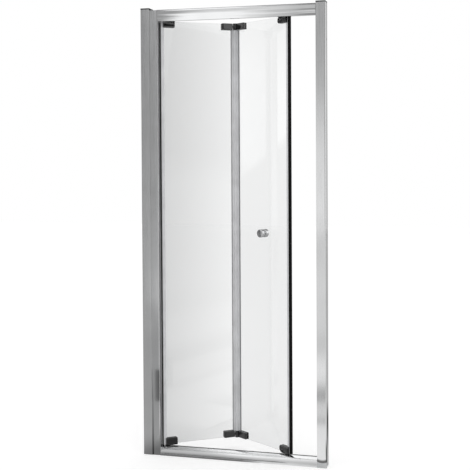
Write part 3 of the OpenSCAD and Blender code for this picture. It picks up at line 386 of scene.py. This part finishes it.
class DOOR_OT_channels(Dresser):
    """Satin aluminium on the wall channels and the posts"""

    bl_idname = "door.channels"
    bl_label = "Wall Channels and Posts"

    def dress(self, settings):
        look = settings.frame_finish
        extruded("channel_aluminium", look.light, look.dark, look.satin, "Z").paint("left_wall_channel")
        # the latch side's channel gets the lightened tones, as painted light
        latch = extruded("latch_channel_aluminium", look.latch_lit_bright, look.latch_lit_dim, look.satin, "Z")
        self.paint_shade_over_foot(latch)
        latch.paint("right_wall_channel")
        # the posts get the darkened tones, as painted shade
        post = extruded("post_aluminium", look.post_shaded_bright, look.post_shaded_dim, look.satin, "Z")
        flange_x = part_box("left_wall_channel")[1].x
        # painted shade on the post beside the channel's flange, strongest at the foot and fading out
        # upwards
        beside = post.ramp(post.reach((1, 0, 0), flange_x), STEP_SHADE_WIDTH, STEP_SHADE_WIDTH / 2)
        low = post.ramp(post.reach((0, 0, 1), 0.0), STEP_SHADE_HEIGHT, 0.0, STEP_SHADE_COVER)
        post.over(post.both(beside, low), STEP_SHADE_TONE)
        post.paint("hinge_post", "latch_post")

    def paint_shade_over_foot(self, latch):
        """Painted shade on the channel's front, as far as FOOT_SHADE_DEPTH above the arc of the foot.
        """
        low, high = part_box("right_foot_cap")
        chord = high.x - low.x
        radius = (chord * chord / 4 + FOOT_HOLLOW * FOOT_HOLLOW) / (2 * FOOT_HOLLOW)
        coordinates = latch.node("ShaderNodeTexCoord")
        flat = latch.node("ShaderNodeVectorMath", operation="MULTIPLY")
        flat.inputs[1].default_value = (1, 0, 1)
        latch.link(coordinates.outputs["Object"], flat.inputs[0])
        span = latch.node("ShaderNodeVectorMath", operation="DISTANCE")
        span.inputs[1].default_value = ((low.x + high.x) / 2, 0, FOOT_HEIGHT + radius)
        latch.link(flat.outputs[0], span.inputs[0])
        over_arc = latch.ramp(span.outputs["Value"], radius - FOOT_SHADE_DEPTH, radius - FOOT_SHADE_DEPTH / 2)
        low_end = latch.ramp(latch.reach((0, 0, 1), high.z), 2 * FOOT_SHADE_DEPTH, FOOT_SHADE_DEPTH)
        front = latch.ramp(latch.reach((0, -1, 0), 0.0), *FOOT_SHADE_FRONT)
        latch.over(latch.both(latch.both(over_arc, low_end), front), FOOT_SHADE_TONE)


class DOOR_OT_rails(Dresser):
    """Polished aluminium on the header and the sill"""

    bl_idname = "door.rails"
    bl_label = "Header and Sill"

    def dress(self, settings):
        look = settings.frame_finish
        header = extruded("header_aluminium", look.light, look.dark, look.polish, "X")
        top_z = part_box("header_rail")[1].z
        # painted shade in a band along the header's top
        edge = header.ramp(header.reach((0, 0, 1), top_z - TOP_EDGE_SHADE), 0.0, TOP_EDGE_SHADE / 4)
        header.over(edge, TOP_EDGE_SHADE_TONE)
        header.paint("header_rail")
        extruded("sill_aluminium", look.light, look.dark, look.sill, "X").paint("sill_rail")


class DOOR_OT_caps(Dresser):
    """Moulded end caps, foot and screw covers"""

    bl_idname = "door.caps"
    bl_label = "Caps and Foot"

    def dress(self, settings):
        moulded("cap_plastic", CAP_TONE, rough=0.5).paint("left_top_cap", "right_top_cap")
        moulded("foot_plastic", PALE_TONE, rough=0.3).paint("right_foot_cap")
        moulded("cover_plastic", PALE_TONE, rough=0.25).paint("screw_cover_caps")


class DOOR_OT_glass(Dresser):
    """Clear toughened glass with ground edges"""

    bl_idname = "door.glass"
    bl_label = "Glass Panels"

    def dress(self, settings):
        tint = settings.glass
        low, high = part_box("fixed_side_glass")
        for name, fold in (("fixed_side_glass", 1), ("closing_side_glass", -1)):
            glass = Finish(name, Roughness=0.0, Transmission_Weight=1.0, IOR=GLASS_IOR)
            coordinates = glass.node("ShaderNodeTexCoord")
            across = glass.node("ShaderNodeSeparateXYZ")
            glass.link(coordinates.outputs["Object"], across.inputs[0])
            # painted shade: the tint darkens from the fold side towards the hinge post
            share = glass.node("ShaderNodeMapRange", From_Min=low.x, From_Max=high.x)
            glass.link(across.outputs["X"], share.inputs["Value"])
            face = glass.mixed(share.outputs["Result"], tint.hinge_side_shade, tint.fold_side)
            turn = fold * FOLD
            facing = glass.node("ShaderNodeVectorMath", operation="DOT_PRODUCT")
            facing.inputs[1].default_value = (-sin(turn), cos(turn), 0.0)
            glass.link(coordinates.outputs["Normal"], facing.inputs[0])
            size = glass.node("ShaderNodeMath", operation="ABSOLUTE")
            glass.link(facing.outputs["Value"], size.inputs[0])
            sides = glass.node("ShaderNodeMix", data_type="RGBA")
            sides.inputs[6].default_value = (*tint.edge, 1)
            glass.link(face, sides.inputs[7])
            glass.link(size.outputs[0], sides.inputs[0])
            glass.base(sides.outputs[2])
            glass.paint(name)


class DOOR_OT_clamps(Dresser):
    """Dark plating on the clamps and hinges, with their pads"""

    bl_idname = "door.clamps"
    bl_label = "Clamps and Hinges"

    def dress(self, settings):
        clamp = settings.hardware.clamp
        plated = moulded("clamp_graphite", clamp, rough=0.12, spread=0.03, depth=0.000002)
        plated.shader.inputs["Specular IOR Level"].default_value = PLATING_GLOSS
        plated.shader.inputs["Coat Weight"].default_value = COAT
        plated.shader.inputs["Coat Roughness"].default_value = COAT_ROUGHNESS
        plated.paint(
            "top_pivot_clamp", "bottom_pivot_clamp",
            "top_pivot_clamp_plate", "bottom_pivot_clamp_plate",
            "top_inner_hinge_leaf", "bottom_inner_hinge_leaf", "inner_hinge_plates",
            "top_outer_hinge_leaf", "bottom_outer_hinge_leaf", "outer_hinge_plates",
            "top_slider_clamp", "bottom_slider_clamp",
            "top_slider_clamp_plate", "bottom_slider_clamp_plate",
        )
        moulded("pad_rubber", PAD_TONE, rough=0.7).paint(
            "pivot_clamp_pads", "inner_hinge_pads", "outer_hinge_pads", "slider_clamp_pads"
        )


class DOOR_OT_seals(Dresser):
    """Grey and black seals and the magnet strips"""

    bl_idname = "door.seals"
    bl_label = "Seals and Magnets"

    def dress(self, settings):
        shade = settings.hardware
        moulded("grey_seal", shade.seal, rough=0.4).paint("fixed_side_edge_seal", "magnet_carrier")
        # each half's painted shade lies at the end of its leg, away from the fold
        for name, turn, side in (("folding_seal_bulb", FOLD, -1), ("folding_seal_cheek", -FOLD, 1)):
            half = moulded(name + "_grey", shade.seal, rough=0.4)
            outward = np.array((side * cos(turn), side * sin(turn), 0.0))
            leg_end = float((corners(name) @ outward).max())
            past = half.reach(outward, leg_end - SEAL_SHADE)
            line = half.ramp(past, 0.0, SEAL_SHADE / 4, SEAL_SHADE_COVER)
            half.over(line, SEAL_SHADE_TONE)
            half.paint(name)
        for name, rough, pieces in (
            ("black_seal", 0.55, ("pivot_side_seal",)),
            ("black_magnet", 0.45, ("latch_magnet_strip", "door_magnet_strip")),
        ):
            black = moulded(name, shade.black, rough)
            black.shader.inputs["Specular IOR Level"].default_value = BLACK_GLOSS
            black.paint(*pieces)


class DOOR_OT_runners(Dresser):
    """Nylon blocks, shoes and bushes with steel pins and screws"""

    bl_idname = "door.runners"
    bl_label = "Runners, Pins and Screws"

    def dress(self, settings):
        moulded("nylon", NYLON_TONE, rough=0.42).paint(
            "top_pivot_block", "bottom_pivot_block", "folding_hinge_bushes",
            "top_sliding_shoe", "bottom_sliding_shoe",
        )
        steel = Finish("turned_steel", Metallic=1.0)
        marks = steel.noise(STEEL_MARKS, 2.0)
        steel.base(steel.mixed(steel.ranged(marks, 0.0, 1.0), *STEEL_TONES))
        steel.roughness(marks, *STEEL_ROUGHNESS)
        steel.paint(
            "rail_screws", "adjusting_screws", "pivot_block_screws", "pivot_clamp_screws",
            "inner_hinge_screws", "outer_hinge_screws", "slider_clamp_screws", "slider_lock_screws",
            "top_pivot_pin", "bottom_pivot_pin", "folding_hinge_pins",
            "top_slider_pin", "bottom_slider_pin", "knob_stud",
        )


# Outline of a knob as (radius, height) in metres over its foot, from the bottom of the stud's bore
# over the foot and the side to the middle of the face, with the radius that rounds each corner
KNOB_OUTLINE = (
    (0.0, 0.0130, 0.0), (0.0041, 0.0130, 0.0), (0.0041, 0.0, 0.0),
    (0.0130, 0.0, 0.0003), (0.0130, 0.0020, 0.0005), (0.0170, 0.0035, 0.0008),
    (0.0170, 0.0098, 0.0002), (0.0164, 0.0101, 0.0002),
    (0.0164, 0.0108, 0.0002), (0.0170, 0.0111, 0.0002),
    (0.0170, 0.0156, 0.0010), (0.0148, 0.0180, 0.0008), (0.0, 0.0180, 0.0),
)
KNOB_SIDES = 128
ROUNDING_STEPS = 5
ROUNDING_SHARE = 0.45


def rounded(outline):
    """Outline whose corner q, between p and r, is the curve (1-t)^2 a + 2t(1-t) q + t^2 b, with a
    and b on the sides at the corner's radius from q, or at ROUNDING_SHARE of the side if that is
    less."""
    points = []
    t = np.linspace(0.0, 1.0, ROUNDING_STEPS)[:, None]
    neighbours = zip((outline[0], *outline), outline, (*outline[1:], outline[-1]))
    for before, (x, z, radius), after in neighbours:
        corner = np.array((x, z))
        if radius == 0.0:
            points.append(corner)
            continue
        starts = []
        for other in (before, after):
            side = np.array(other[:2]) - corner
            length = np.linalg.norm(side)
            starts.append(corner + side / length * min(radius, ROUNDING_SHARE * length))
        points.append((1 - t) ** 2 * starts[0] + 2 * t * (1 - t) * corner + t ** 2 * starts[1])
    return np.vstack(points)


class DOOR_OT_knobs(Dresser):
    """Turned and chromed knobs with their washers"""

    bl_idname = "door.knobs"
    bl_label = "Knobs"

    def dress(self, settings):
        for name, side in (("outside_knob", -1), ("inside_knob", 1)):
            axis = np.array((side * sin(FOLD), side * cos(FOLD), 0.0))
            knob = self.turned(name, axis)
            face = float((corners(name) @ axis).max())
            finish = self.chrome(name, axis, face, settings.hardware.chrome)
            knob.data.materials.append(finish.material)
        moulded("washer_plastic", WASHER_TONE, rough=0.35).paint("knob_washers")

    def chrome(self, name, axis, face, tone):
        """Bright chrome with a satin face."""
        chrome = Finish(name + "_chrome", Metallic=1.0)
        haze = chrome.noise(HAZE, 3.0)
        low = tuple(HAZE_SHADE * part for part in tone)
        chrome.base(chrome.mixed(chrome.ranged(haze, 0.0, 1.0), low, tone))
        chrome.over(chrome.ramp(chrome.reach(axis, face), *FACE_DEPTH), FACE_TONE)
        chrome.roughness(haze, *CHROME_ROUGHNESS)
        return chrome

    def turned(self, name, axis):
        """Knob turned about an axis. A point of the outline at radius r and height h lies at
        foot + h axis + r (cos b across + sin b up) for b all the way round. The outline's two
        ends lie on the axis and close the bore and the face."""
        solid = corners(name)
        up = np.array((0.0, 0.0, 1.0))
        across = np.cross(up, axis)
        middle = [(solid @ way).min() / 2 + (solid @ way).max() / 2 for way in (across, up)]
        foot = (solid @ axis).min() * axis + middle[0] * across + middle[1] * up
        outline = rounded(KNOB_OUTLINE)
        outline[:, 1] *= ((solid @ axis).max() - (solid @ axis).min()) / outline[:, 1].max()
        around = np.linspace(0.0, 2 * np.pi, KNOB_SIDES, endpoint=False)
        spokes = np.cos(around)[:, None] * across + np.sin(around)[:, None] * up
        rings = outline[1:-1]
        points = foot + rings[:, None, 1:] * axis + rings[:, None, :1] * spokes[None]
        poles = foot + outline[[0, -1], 1:] * axis
        step = (np.arange(KNOB_SIDES) + 1) % KNOB_SIDES
        start = np.arange(len(rings) - 1)[:, None] * KNOB_SIDES
        here, there = start + np.arange(KNOB_SIDES), start + step
        walls = np.stack((here, there, there + KNOB_SIDES, here + KNOB_SIDES), -1).reshape(-1, 4)
        first, last = np.arange(KNOB_SIDES), (len(rings) - 1) * KNOB_SIDES + np.arange(KNOB_SIDES)
        bore = np.stack((np.full(KNOB_SIDES, last[-1] + 1), first[step], first), -1)
        face = np.stack((np.full(KNOB_SIDES, last[-1] + 2), last, last[step]), -1)
        mesh = bpy.data.meshes.new(name + "_turned")
        mesh.from_pydata(
            [*points.reshape(-1, 3).tolist(), *poles.tolist()], [],
            [*walls.tolist(), *bore.tolist(), *face.tolist()],
        )
        mesh.shade_smooth()
        knob = bpy.data.objects.new(name + "_turned", mesh)
        bpy.context.scene.collection.objects.link(knob)
        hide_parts(name)
        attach(knob, "closing_side_panel")
        return knob


# ---- studio ---------------------------------------------------------------------------------


# Places and sizes of the lamps, and the point they shine at
KEY_PLACE = (2.6, -3.6, 3.0)
KEY_SIZE = (2.4, 2.4)
FILL_PLACE = (-3.0, -2.6, 1.8)
FILL_SIZE = (2.0, 2.6)
LAMP_AIM = (0.0, 0.0, 0.95)
# Floor: first and last line of each part of its grid on either side of the door's middle and their
# number, gap below the sill, paint, its roughness, the lift that makes it white where it shows, and
# what the camera's own view adds to that
FLOOR_LINES = ((0.0, 1.2, 61), (1.4, 4.0, 27), (4.5, 12.0, 16))
FLOOR_GAP = 0.0005
FLOOR_PAINT = (0.65, 0.65, 0.65)
FLOOR_ROUGHNESS = 0.9
FLOOR_LIFT = 0.468
CAMERA_LIFT = 0.06
# Far enough for the dome and the floor's corners
CLIP_END = 100.0


def seen_directly(tree):
    """1 for camera, glossy and transmission rays, which are the ones that show the backdrop."""
    path = tree.nodes.new("ShaderNodeLightPath")
    total = path.outputs["Is Camera Ray"]
    for ray in ("Is Glossy Ray", "Is Transmission Ray"):
        most = tree.nodes.new("ShaderNodeMath")
        most.operation = "MAXIMUM"
        tree.links.new(total, most.inputs[0])
        tree.links.new(path.outputs[ray], most.inputs[1])
        total = most.outputs[0]
    return total


def area_lamp(name, place, target, size, power):
    """Soft rectangular lamp at place that shines at target. The dome is what reflections show."""
    lamp = bpy.data.lights.new(name, "AREA")
    lamp.shape = "RECTANGLE"
    lamp.size, lamp.size_y = size
    lamp.energy = power
    holder = bpy.data.objects.new(name, lamp)
    bpy.context.scene.collection.objects.link(holder)
    away = np.subtract(place, target)
    away = away / np.linalg.norm(away)
    side = np.cross((0, 0, 1), away)
    side = side / np.linalg.norm(side)
    up = np.cross(away, side)
    turn = Matrix(np.array((side, up, away)).T.tolist()).to_4x4()
    holder.matrix_world = Matrix.Translation(place) @ turn
    holder.visible_glossy = False
    return holder


# Cards of cloth on a dome over the studio, which only reflections show. A card has the four
# angles at which it fades in, is full, is full still and has faded out, measured in degrees from
# the plane square to the doorway towards the hinge side, the same four for the turn about the
# doorway's line from the floor in front over the top to the floor behind, and its brightness. A
# later card covers an earlier one.
DOME_RADIUS = 11.5
DOME_STEPS = (901, 181)
DOME_GREY = 0.42
DOME_CARDS = (
    ((-91, -90, 58, 80), (95, 110, 180, 181), 0.60),            # behind the door
    ((-91, -90, -24, -10), (-1, 0, 40, 60), 0.45),              # front, latch side
    ((-14, -7, 5.5, 7.5), (-1, 0, 40, 50), 0.60),               # front, middle
    ((5.5, 6.5, 12, 14), (-1, 0, 48, 52), 0.64),                # header's latch end
    ((5.5, 6.5, 8.6, 9.6), (-1, 0, 2, 11), 0.90),               # latch channel, low
    ((5.5, 6.5, 8.6, 9.6), (8, 14, 20, 24), 0.34),              # latch channel, high
    ((11.0, 13.6, 18.4, 19.5), (-1, 0, 22, 27), 1.24),          # header's white face
    ((8.5, 12, 16.2, 18), (22, 26, 31, 36), 1.02),              # header's upper curve
    ((8, 10.5, 15, 17.6), (31, 36, 45, 48), 0.86),              # header's top
    ((19.2, 19.9, 91, 92), (-1, 0, 90, 91), 0.31),              # hinge side, high
    ((19.2, 19.9, 60, 70), (-1, 0, 4, 12), 0.38),               # hinge side, low
    ((-60, -40, 91, 92), (45, 48, 140, 146), 0.62),             # overhead, for the sill
    ((13.5, 15, 30, 40), (44, 47, 50, 60), 0.41),               # front edge of the overhead card
    ((-5, 10.0, 13.4, 15.0), (46, 92, 131, 140), 1.2),          # sill's white, latch end
    ((-5, 10.0, 16.0, 17.2), (86, 104, 131, 140), 1.3),         # sill's white, hinge end
    ((11.0, 12.5, 14.6, 16.6), (60, 98, 131, 140), 1.6),        # sill's white, middle
    ((-68, -62, -40, -34), (6, 10, 46, 56), 0.03),              # dark, for the pivot clamps
    ((-34, -30, 2, 5), (118, 124, 160, 166), 0.12),             # dark, for the knobs' upper rim
    ((-91, -90, -44, -36), (84, 92, 180, 181), 1.3),            # white, for the knobs' sides
    ((-91, -90, -80, -76), (-1, 0, 180, 181), 1.1),             # latch side's wall
    ((44, 66, 70, 90), (0, 50, 110, 140), 0.66),                # closing panel's hardware
    ((72, 90, 91, 92), (-1, 0, 180, 181), 0.26),                # hinge side's wall
    ((72, 76, 82, 85), (39, 43, 70, 80), 1.3),                  # top slider clamp
    ((-15, -13.5, -4, -3), (150, 156, 180, 181), 0.52),         # latch channel's side
    ((-26, -24, -16, -14.5), (150, 156, 180, 181), 0.14),       # hinge post's side
)

# Papers on the floor, which only reflections show either. The first four numbers are metres
# across the door, or shares of the way out where the paper is a fan that opens from the hinge
# side's foot, and the next four are metres out from the door.
FLOOR_GREY = 0.43
FAN_APEX = -0.41
FLOOR_PAPERS = (
    ("fan", (-0.03, 0.02, 5, 6), (0.2, 0.4, 30, 31), 0.74),
    ("fan", (-0.322, -0.307, -0.20, -0.06), (3.2, 4.0, 30, 31), 1.24),
    ("fan", (-0.08, -0.06, 5, 6), (1.9, 2.3, 30, 31), 0.74),
    ("fan", (-0.08, -0.06, 5, 6), (2.1, 2.3, 2.5, 3.2), 0.62),
    ("fan", (0.02, 0.12, 5, 6), (1.35, 1.5, 1.9, 2.1), 0.86),
    ("fan", (0.02, 0.12, 5, 6), (0.99, 1.05, 1.22, 1.3), 0.38),
    ("fan", (0.02, 0.12, 5, 6), (0.62, 0.66, 0.72, 0.76), 0.54),
    ("across", (0.02, 0.12, 9, 10), (-0.02, 0.0, 0.58, 0.63), 0.86),
    ("across", (-0.52, -0.36, 0.02, 0.12), (-0.02, 0.0, 0.10, 0.32), 0.21),
    ("across", (0.42, 0.47, 0.62, 0.75), (-1.0, -0.7, 0.2, 0.4), 0.08),
)

# Card in front of the sill: its lines across and up, its place out from the door and brightness
FLAG_X = (-0.43, -0.15, 0.14)
FLAG_Y = -0.3
FLAG_Z = (0.15, 0.215, 0.29)
FLAG_SHINE = 0.16


def window(value, span):
    """0 outside the span's ends, 1 between its middle two, and straight lines between."""
    return np.interp(value, span, (0.0, 1.0, 1.0, 0.0))


def layered(grey, layers):
    """Brightness where each layer of (cover, brightness) covers the ones before it."""
    shine = grey
    for cover, brightness in layers:
        shine = shine * (1.0 - cover) + brightness * cover
    return shine


def dome_shine(swing, turn):
    """Brightness of the dome's cards at a swing and a turn in degrees."""
    return layered(
        np.full(swing.shape, DOME_GREY),
        [(window(swing, sides) * window(turn, ends), shine) for sides, ends, shine in DOME_CARDS],
    )


def floor_shine(x, y):
    """Brightness of the papers at a point of the floor. A fan's share is the distance across from
    the fan's foot divided by the distance out from the door."""
    reach = {"across": x, "fan": (x - FAN_APEX) / np.maximum(-y, 0.01)}
    covers = [
        (window(reach[kind], sides) * window(-y, ends), shine)
        for kind, sides, ends, shine in FLOOR_PAPERS
    ]
    return layered(np.full(x.shape, FLOOR_GREY), covers)


def shining_sheet(name, points, shine):
    """Sheet through a grid of points, with the brightness of each stored as "shine"."""
    rows, columns = shine.shape
    start = (np.arange(rows - 1)[:, None] * columns + np.arange(columns - 1)).ravel()
    faces = np.stack((start, start + columns, start + columns + 1, start + 1), -1)
    mesh = bpy.data.meshes.new(name)
    mesh.from_pydata(points.reshape(-1, 3).tolist(), [], faces.tolist())
    mesh.attributes.new("shine", "FLOAT", "POINT").data.foreach_set("value", shine.ravel())
    sheet = bpy.data.objects.new(name, mesh)
    bpy.context.scene.collection.objects.link(sheet)
    return sheet


def glow_of(tree):
    """Emission as bright as the sheet's shine."""
    shine = tree.nodes.new("ShaderNodeAttribute")
    shine.attribute_name = "shine"
    glow = tree.nodes.new("ShaderNodeEmission")
    tree.links.new(shine.outputs["Fac"], glow.inputs["Strength"])
    return glow.outputs["Emission"]


def show_in_mirrors(tree, plain):
    """Glow for rays that a surface has mirrored, also where they go on through the glass, and the
    plain shader for all others."""
    path = tree.nodes.new("ShaderNodeLightPath")
    mirrored = tree.nodes.new("ShaderNodeMath")
    mirrored.operation = "MINIMUM"
    mirrored.inputs[1].default_value = 1.0
    tree.links.new(path.outputs["Glossy Depth"], mirrored.inputs[0])
    either = tree.nodes.new("ShaderNodeMixShader")
    tree.links.new(mirrored.outputs[0], either.inputs[0])
    tree.links.new(plain, either.inputs[1])
    tree.links.new(glow_of(tree), either.inputs[2])
    tree.links.new(either.outputs["Shader"], tree.nodes["Material Output"].inputs["Surface"])


class DOOR_OT_studio(bpy.types.Operator):
    """White floor, soft light and the camera of the picture"""

    bl_idname = "door.studio"
    bl_label = "Studio"
    bl_options = {"REGISTER", "UNDO"}

    def execute(self, context):
        studio = context.scene.shower_door.studio
        self.floor()
        self.dome()
        self.flag()
        self.surroundings(context.scene, studio.ambient)
        area_lamp("key", KEY_PLACE, LAMP_AIM, KEY_SIZE, studio.key_power)
        area_lamp("fill", FILL_PLACE, LAMP_AIM, FILL_SIZE, studio.fill_power)
        self.camera(context.scene, studio)
        context.scene.view_settings.view_transform = "Standard"
        return {"FINISHED"}

    def floor(self):
        """White floor that keeps the door's soft shadow. It is a level grid at the sill's
        underside, with its lines closer together near the door."""
        half = np.concatenate([np.linspace(*span) for span in FLOOR_LINES])
        line = np.concatenate((-half[:0:-1], half))
        x, y = np.meshgrid(line, line, indexing="ij")
        points = np.stack((x, y, np.full(x.shape, CAD_BOX[0][2] - FLOOR_GAP)), -1)
        floor = shining_sheet("floor", points, floor_shine(x, y))
        paint = bpy.data.materials.new("floor_paint")
        paint.use_nodes = True
        tree = paint.node_tree
        shader = tree.nodes["Principled BSDF"]
        shader.inputs["Base Color"].default_value = (*FLOOR_PAINT, 1)
        shader.inputs["Roughness"].default_value = FLOOR_ROUGHNESS
        shader.inputs["Emission Color"].default_value = (1, 1, 1, 1)
        lift = tree.nodes.new("ShaderNodeMath")
        lift.operation = "MULTIPLY"
        lift.inputs[1].default_value = FLOOR_LIFT
        tree.links.new(seen_directly(tree), lift.inputs[0])
        # the camera sees the floor a little lighter than the glass does
        lighter = tree.nodes.new("ShaderNodeMath")
        lighter.operation = "MULTIPLY_ADD"
        lighter.inputs[1].default_value = CAMERA_LIFT
        path = tree.nodes.new("ShaderNodeLightPath")
        tree.links.new(path.outputs["Is Camera Ray"], lighter.inputs[0])
        tree.links.new(lift.outputs[0], lighter.inputs[2])
        tree.links.new(lighter.outputs[0], shader.inputs["Emission Strength"])
        show_in_mirrors(tree, shader.outputs["BSDF"])
        floor.data.materials.append(paint)

    def dome(self):
        """Dome of grey and white cards. The point that swings by a and turns by p lies at
        R (-sin a, -cos a cos p, cos a sin p)."""
        swings = np.linspace(-90.0, 90.0, DOME_STEPS[0])
        turns = np.linspace(0.0, 180.0, DOME_STEPS[1])
        swing, turn = np.meshgrid(swings, turns, indexing="ij")
        a, p = np.radians(swing), np.radians(turn)
        points = DOME_RADIUS * np.stack((-np.sin(a), -np.cos(a) * np.cos(p), np.cos(a) * np.sin(p)), -1)
        self.cloth(shining_sheet("reflection_dome", points, dome_shine(swing, turn)))

    def flag(self):
        """Small dark card low in front of the sill, which only reflections show; its reflection darkens
        the foot of the sill's slope.
        """
        x, z = np.meshgrid(FLAG_X, FLAG_Z, indexing="ij")
        points = np.stack((x, np.full(x.shape, FLAG_Y), z), -1)
        self.cloth(shining_sheet("sill_flag", points, np.full(x.shape, FLAG_SHINE)))

    def cloth(self, sheet):
        """Glowing cloth on a sheet that only reflections show."""
        for ray in ("camera", "diffuse", "volume_scatter", "shadow"):
            setattr(sheet, "visible_" + ray, False)
        cloth = bpy.data.materials.new(sheet.name + "_cloth")
        cloth.use_nodes = True
        tree = cloth.node_tree
        tree.nodes.remove(tree.nodes["Principled BSDF"])
        show_in_mirrors(tree, tree.nodes.new("ShaderNodeBsdfTransparent").outputs["BSDF"])
        sheet.data.materials.append(cloth)

    def surroundings(self, scene, ambient):
        """Even grey light from all around, behind a white backdrop."""
        world = bpy.data.worlds.new("studio")
        scene.world = world
        world.use_nodes = True
        tree = world.node_tree
        backdrop = tree.nodes["Background"]
        mix = tree.nodes.new("ShaderNodeMapRange")
        mix.inputs["To Min"].default_value = ambient
        mix.inputs["To Max"].default_value = 1.0
        tree.links.new(seen_directly(tree), mix.inputs["Value"])
        backdrop.inputs["Color"].default_value = (1, 1, 1, 1)
        tree.links.new(mix.outputs["Result"], backdrop.inputs["Strength"])

    def camera(self, scene, studio):
        """Camera of the picture. Its axes come from turning by yaw, tilting down by pitch and
        rolling about the view."""
        yaw, pitch, roll = studio.camera_yaw, studio.camera_pitch, studio.camera_roll
        ahead = np.array((-sin(yaw) * cos(pitch), cos(yaw) * cos(pitch), -sin(pitch)))
        right = np.array((cos(yaw), sin(yaw), 0.0))
        down = np.cross(ahead, right)
        right, down = cos(roll) * right + sin(roll) * down, cos(roll) * down - sin(roll) * right
        data = bpy.data.cameras.new("picture")
        data.sensor_width = SENSOR_MM
        data.lens = studio.focal_px * SENSOR_MM / IMAGE_PX
        data.shift_y = -studio.centre_rise / IMAGE_PX
        data.clip_end = CLIP_END
        holder = bpy.data.objects.new("picture", data)
        scene.collection.objects.link(holder)
        turn = Matrix(np.array((right, -down, -ahead)).T.tolist()).to_4x4()
        holder.matrix_world = Matrix.Translation(studio.camera_at) @ turn
        scene.camera = holder


STEPS = (
    DOOR_OT_channels, DOOR_OT_rails, DOOR_OT_caps, DOOR_OT_glass, DOOR_OT_clamps,
    DOOR_OT_seals, DOOR_OT_runners, DOOR_OT_knobs, DOOR_OT_studio,
)


class DOOR_PT_sidebar(bpy.types.Panel):
    """Lists the steps that dress the door"""

    bl_idname = "DOOR_PT_sidebar"
    bl_label = "Shower Door"
    bl_space_type = "VIEW_3D"
    bl_region_type = "UI"
    bl_category = "Shower Door"

    def draw(self, context):
        for step in STEPS:
            self.layout.operator(step.bl_idname)


CLASSES = (
    FrameFinish, GlassFinish, HardwareFinish, StudioSettings, DoorSettings, *STEPS, DOOR_PT_sidebar,
)


def register():
    for item in CLASSES:
        bpy.utils.register_class(item)
    bpy.types.Scene.shower_door = PointerProperty(type=DoorSettings)


def unregister():
    del bpy.types.Scene.shower_door
    for item in reversed(CLASSES):
        bpy.utils.unregister_class(item)


def main():
    register()
    for step in STEPS:
        section, action = step.bl_idname.split(".")
        getattr(getattr(bpy.ops, section), action)()


if __name__ == "__main__":
    main()
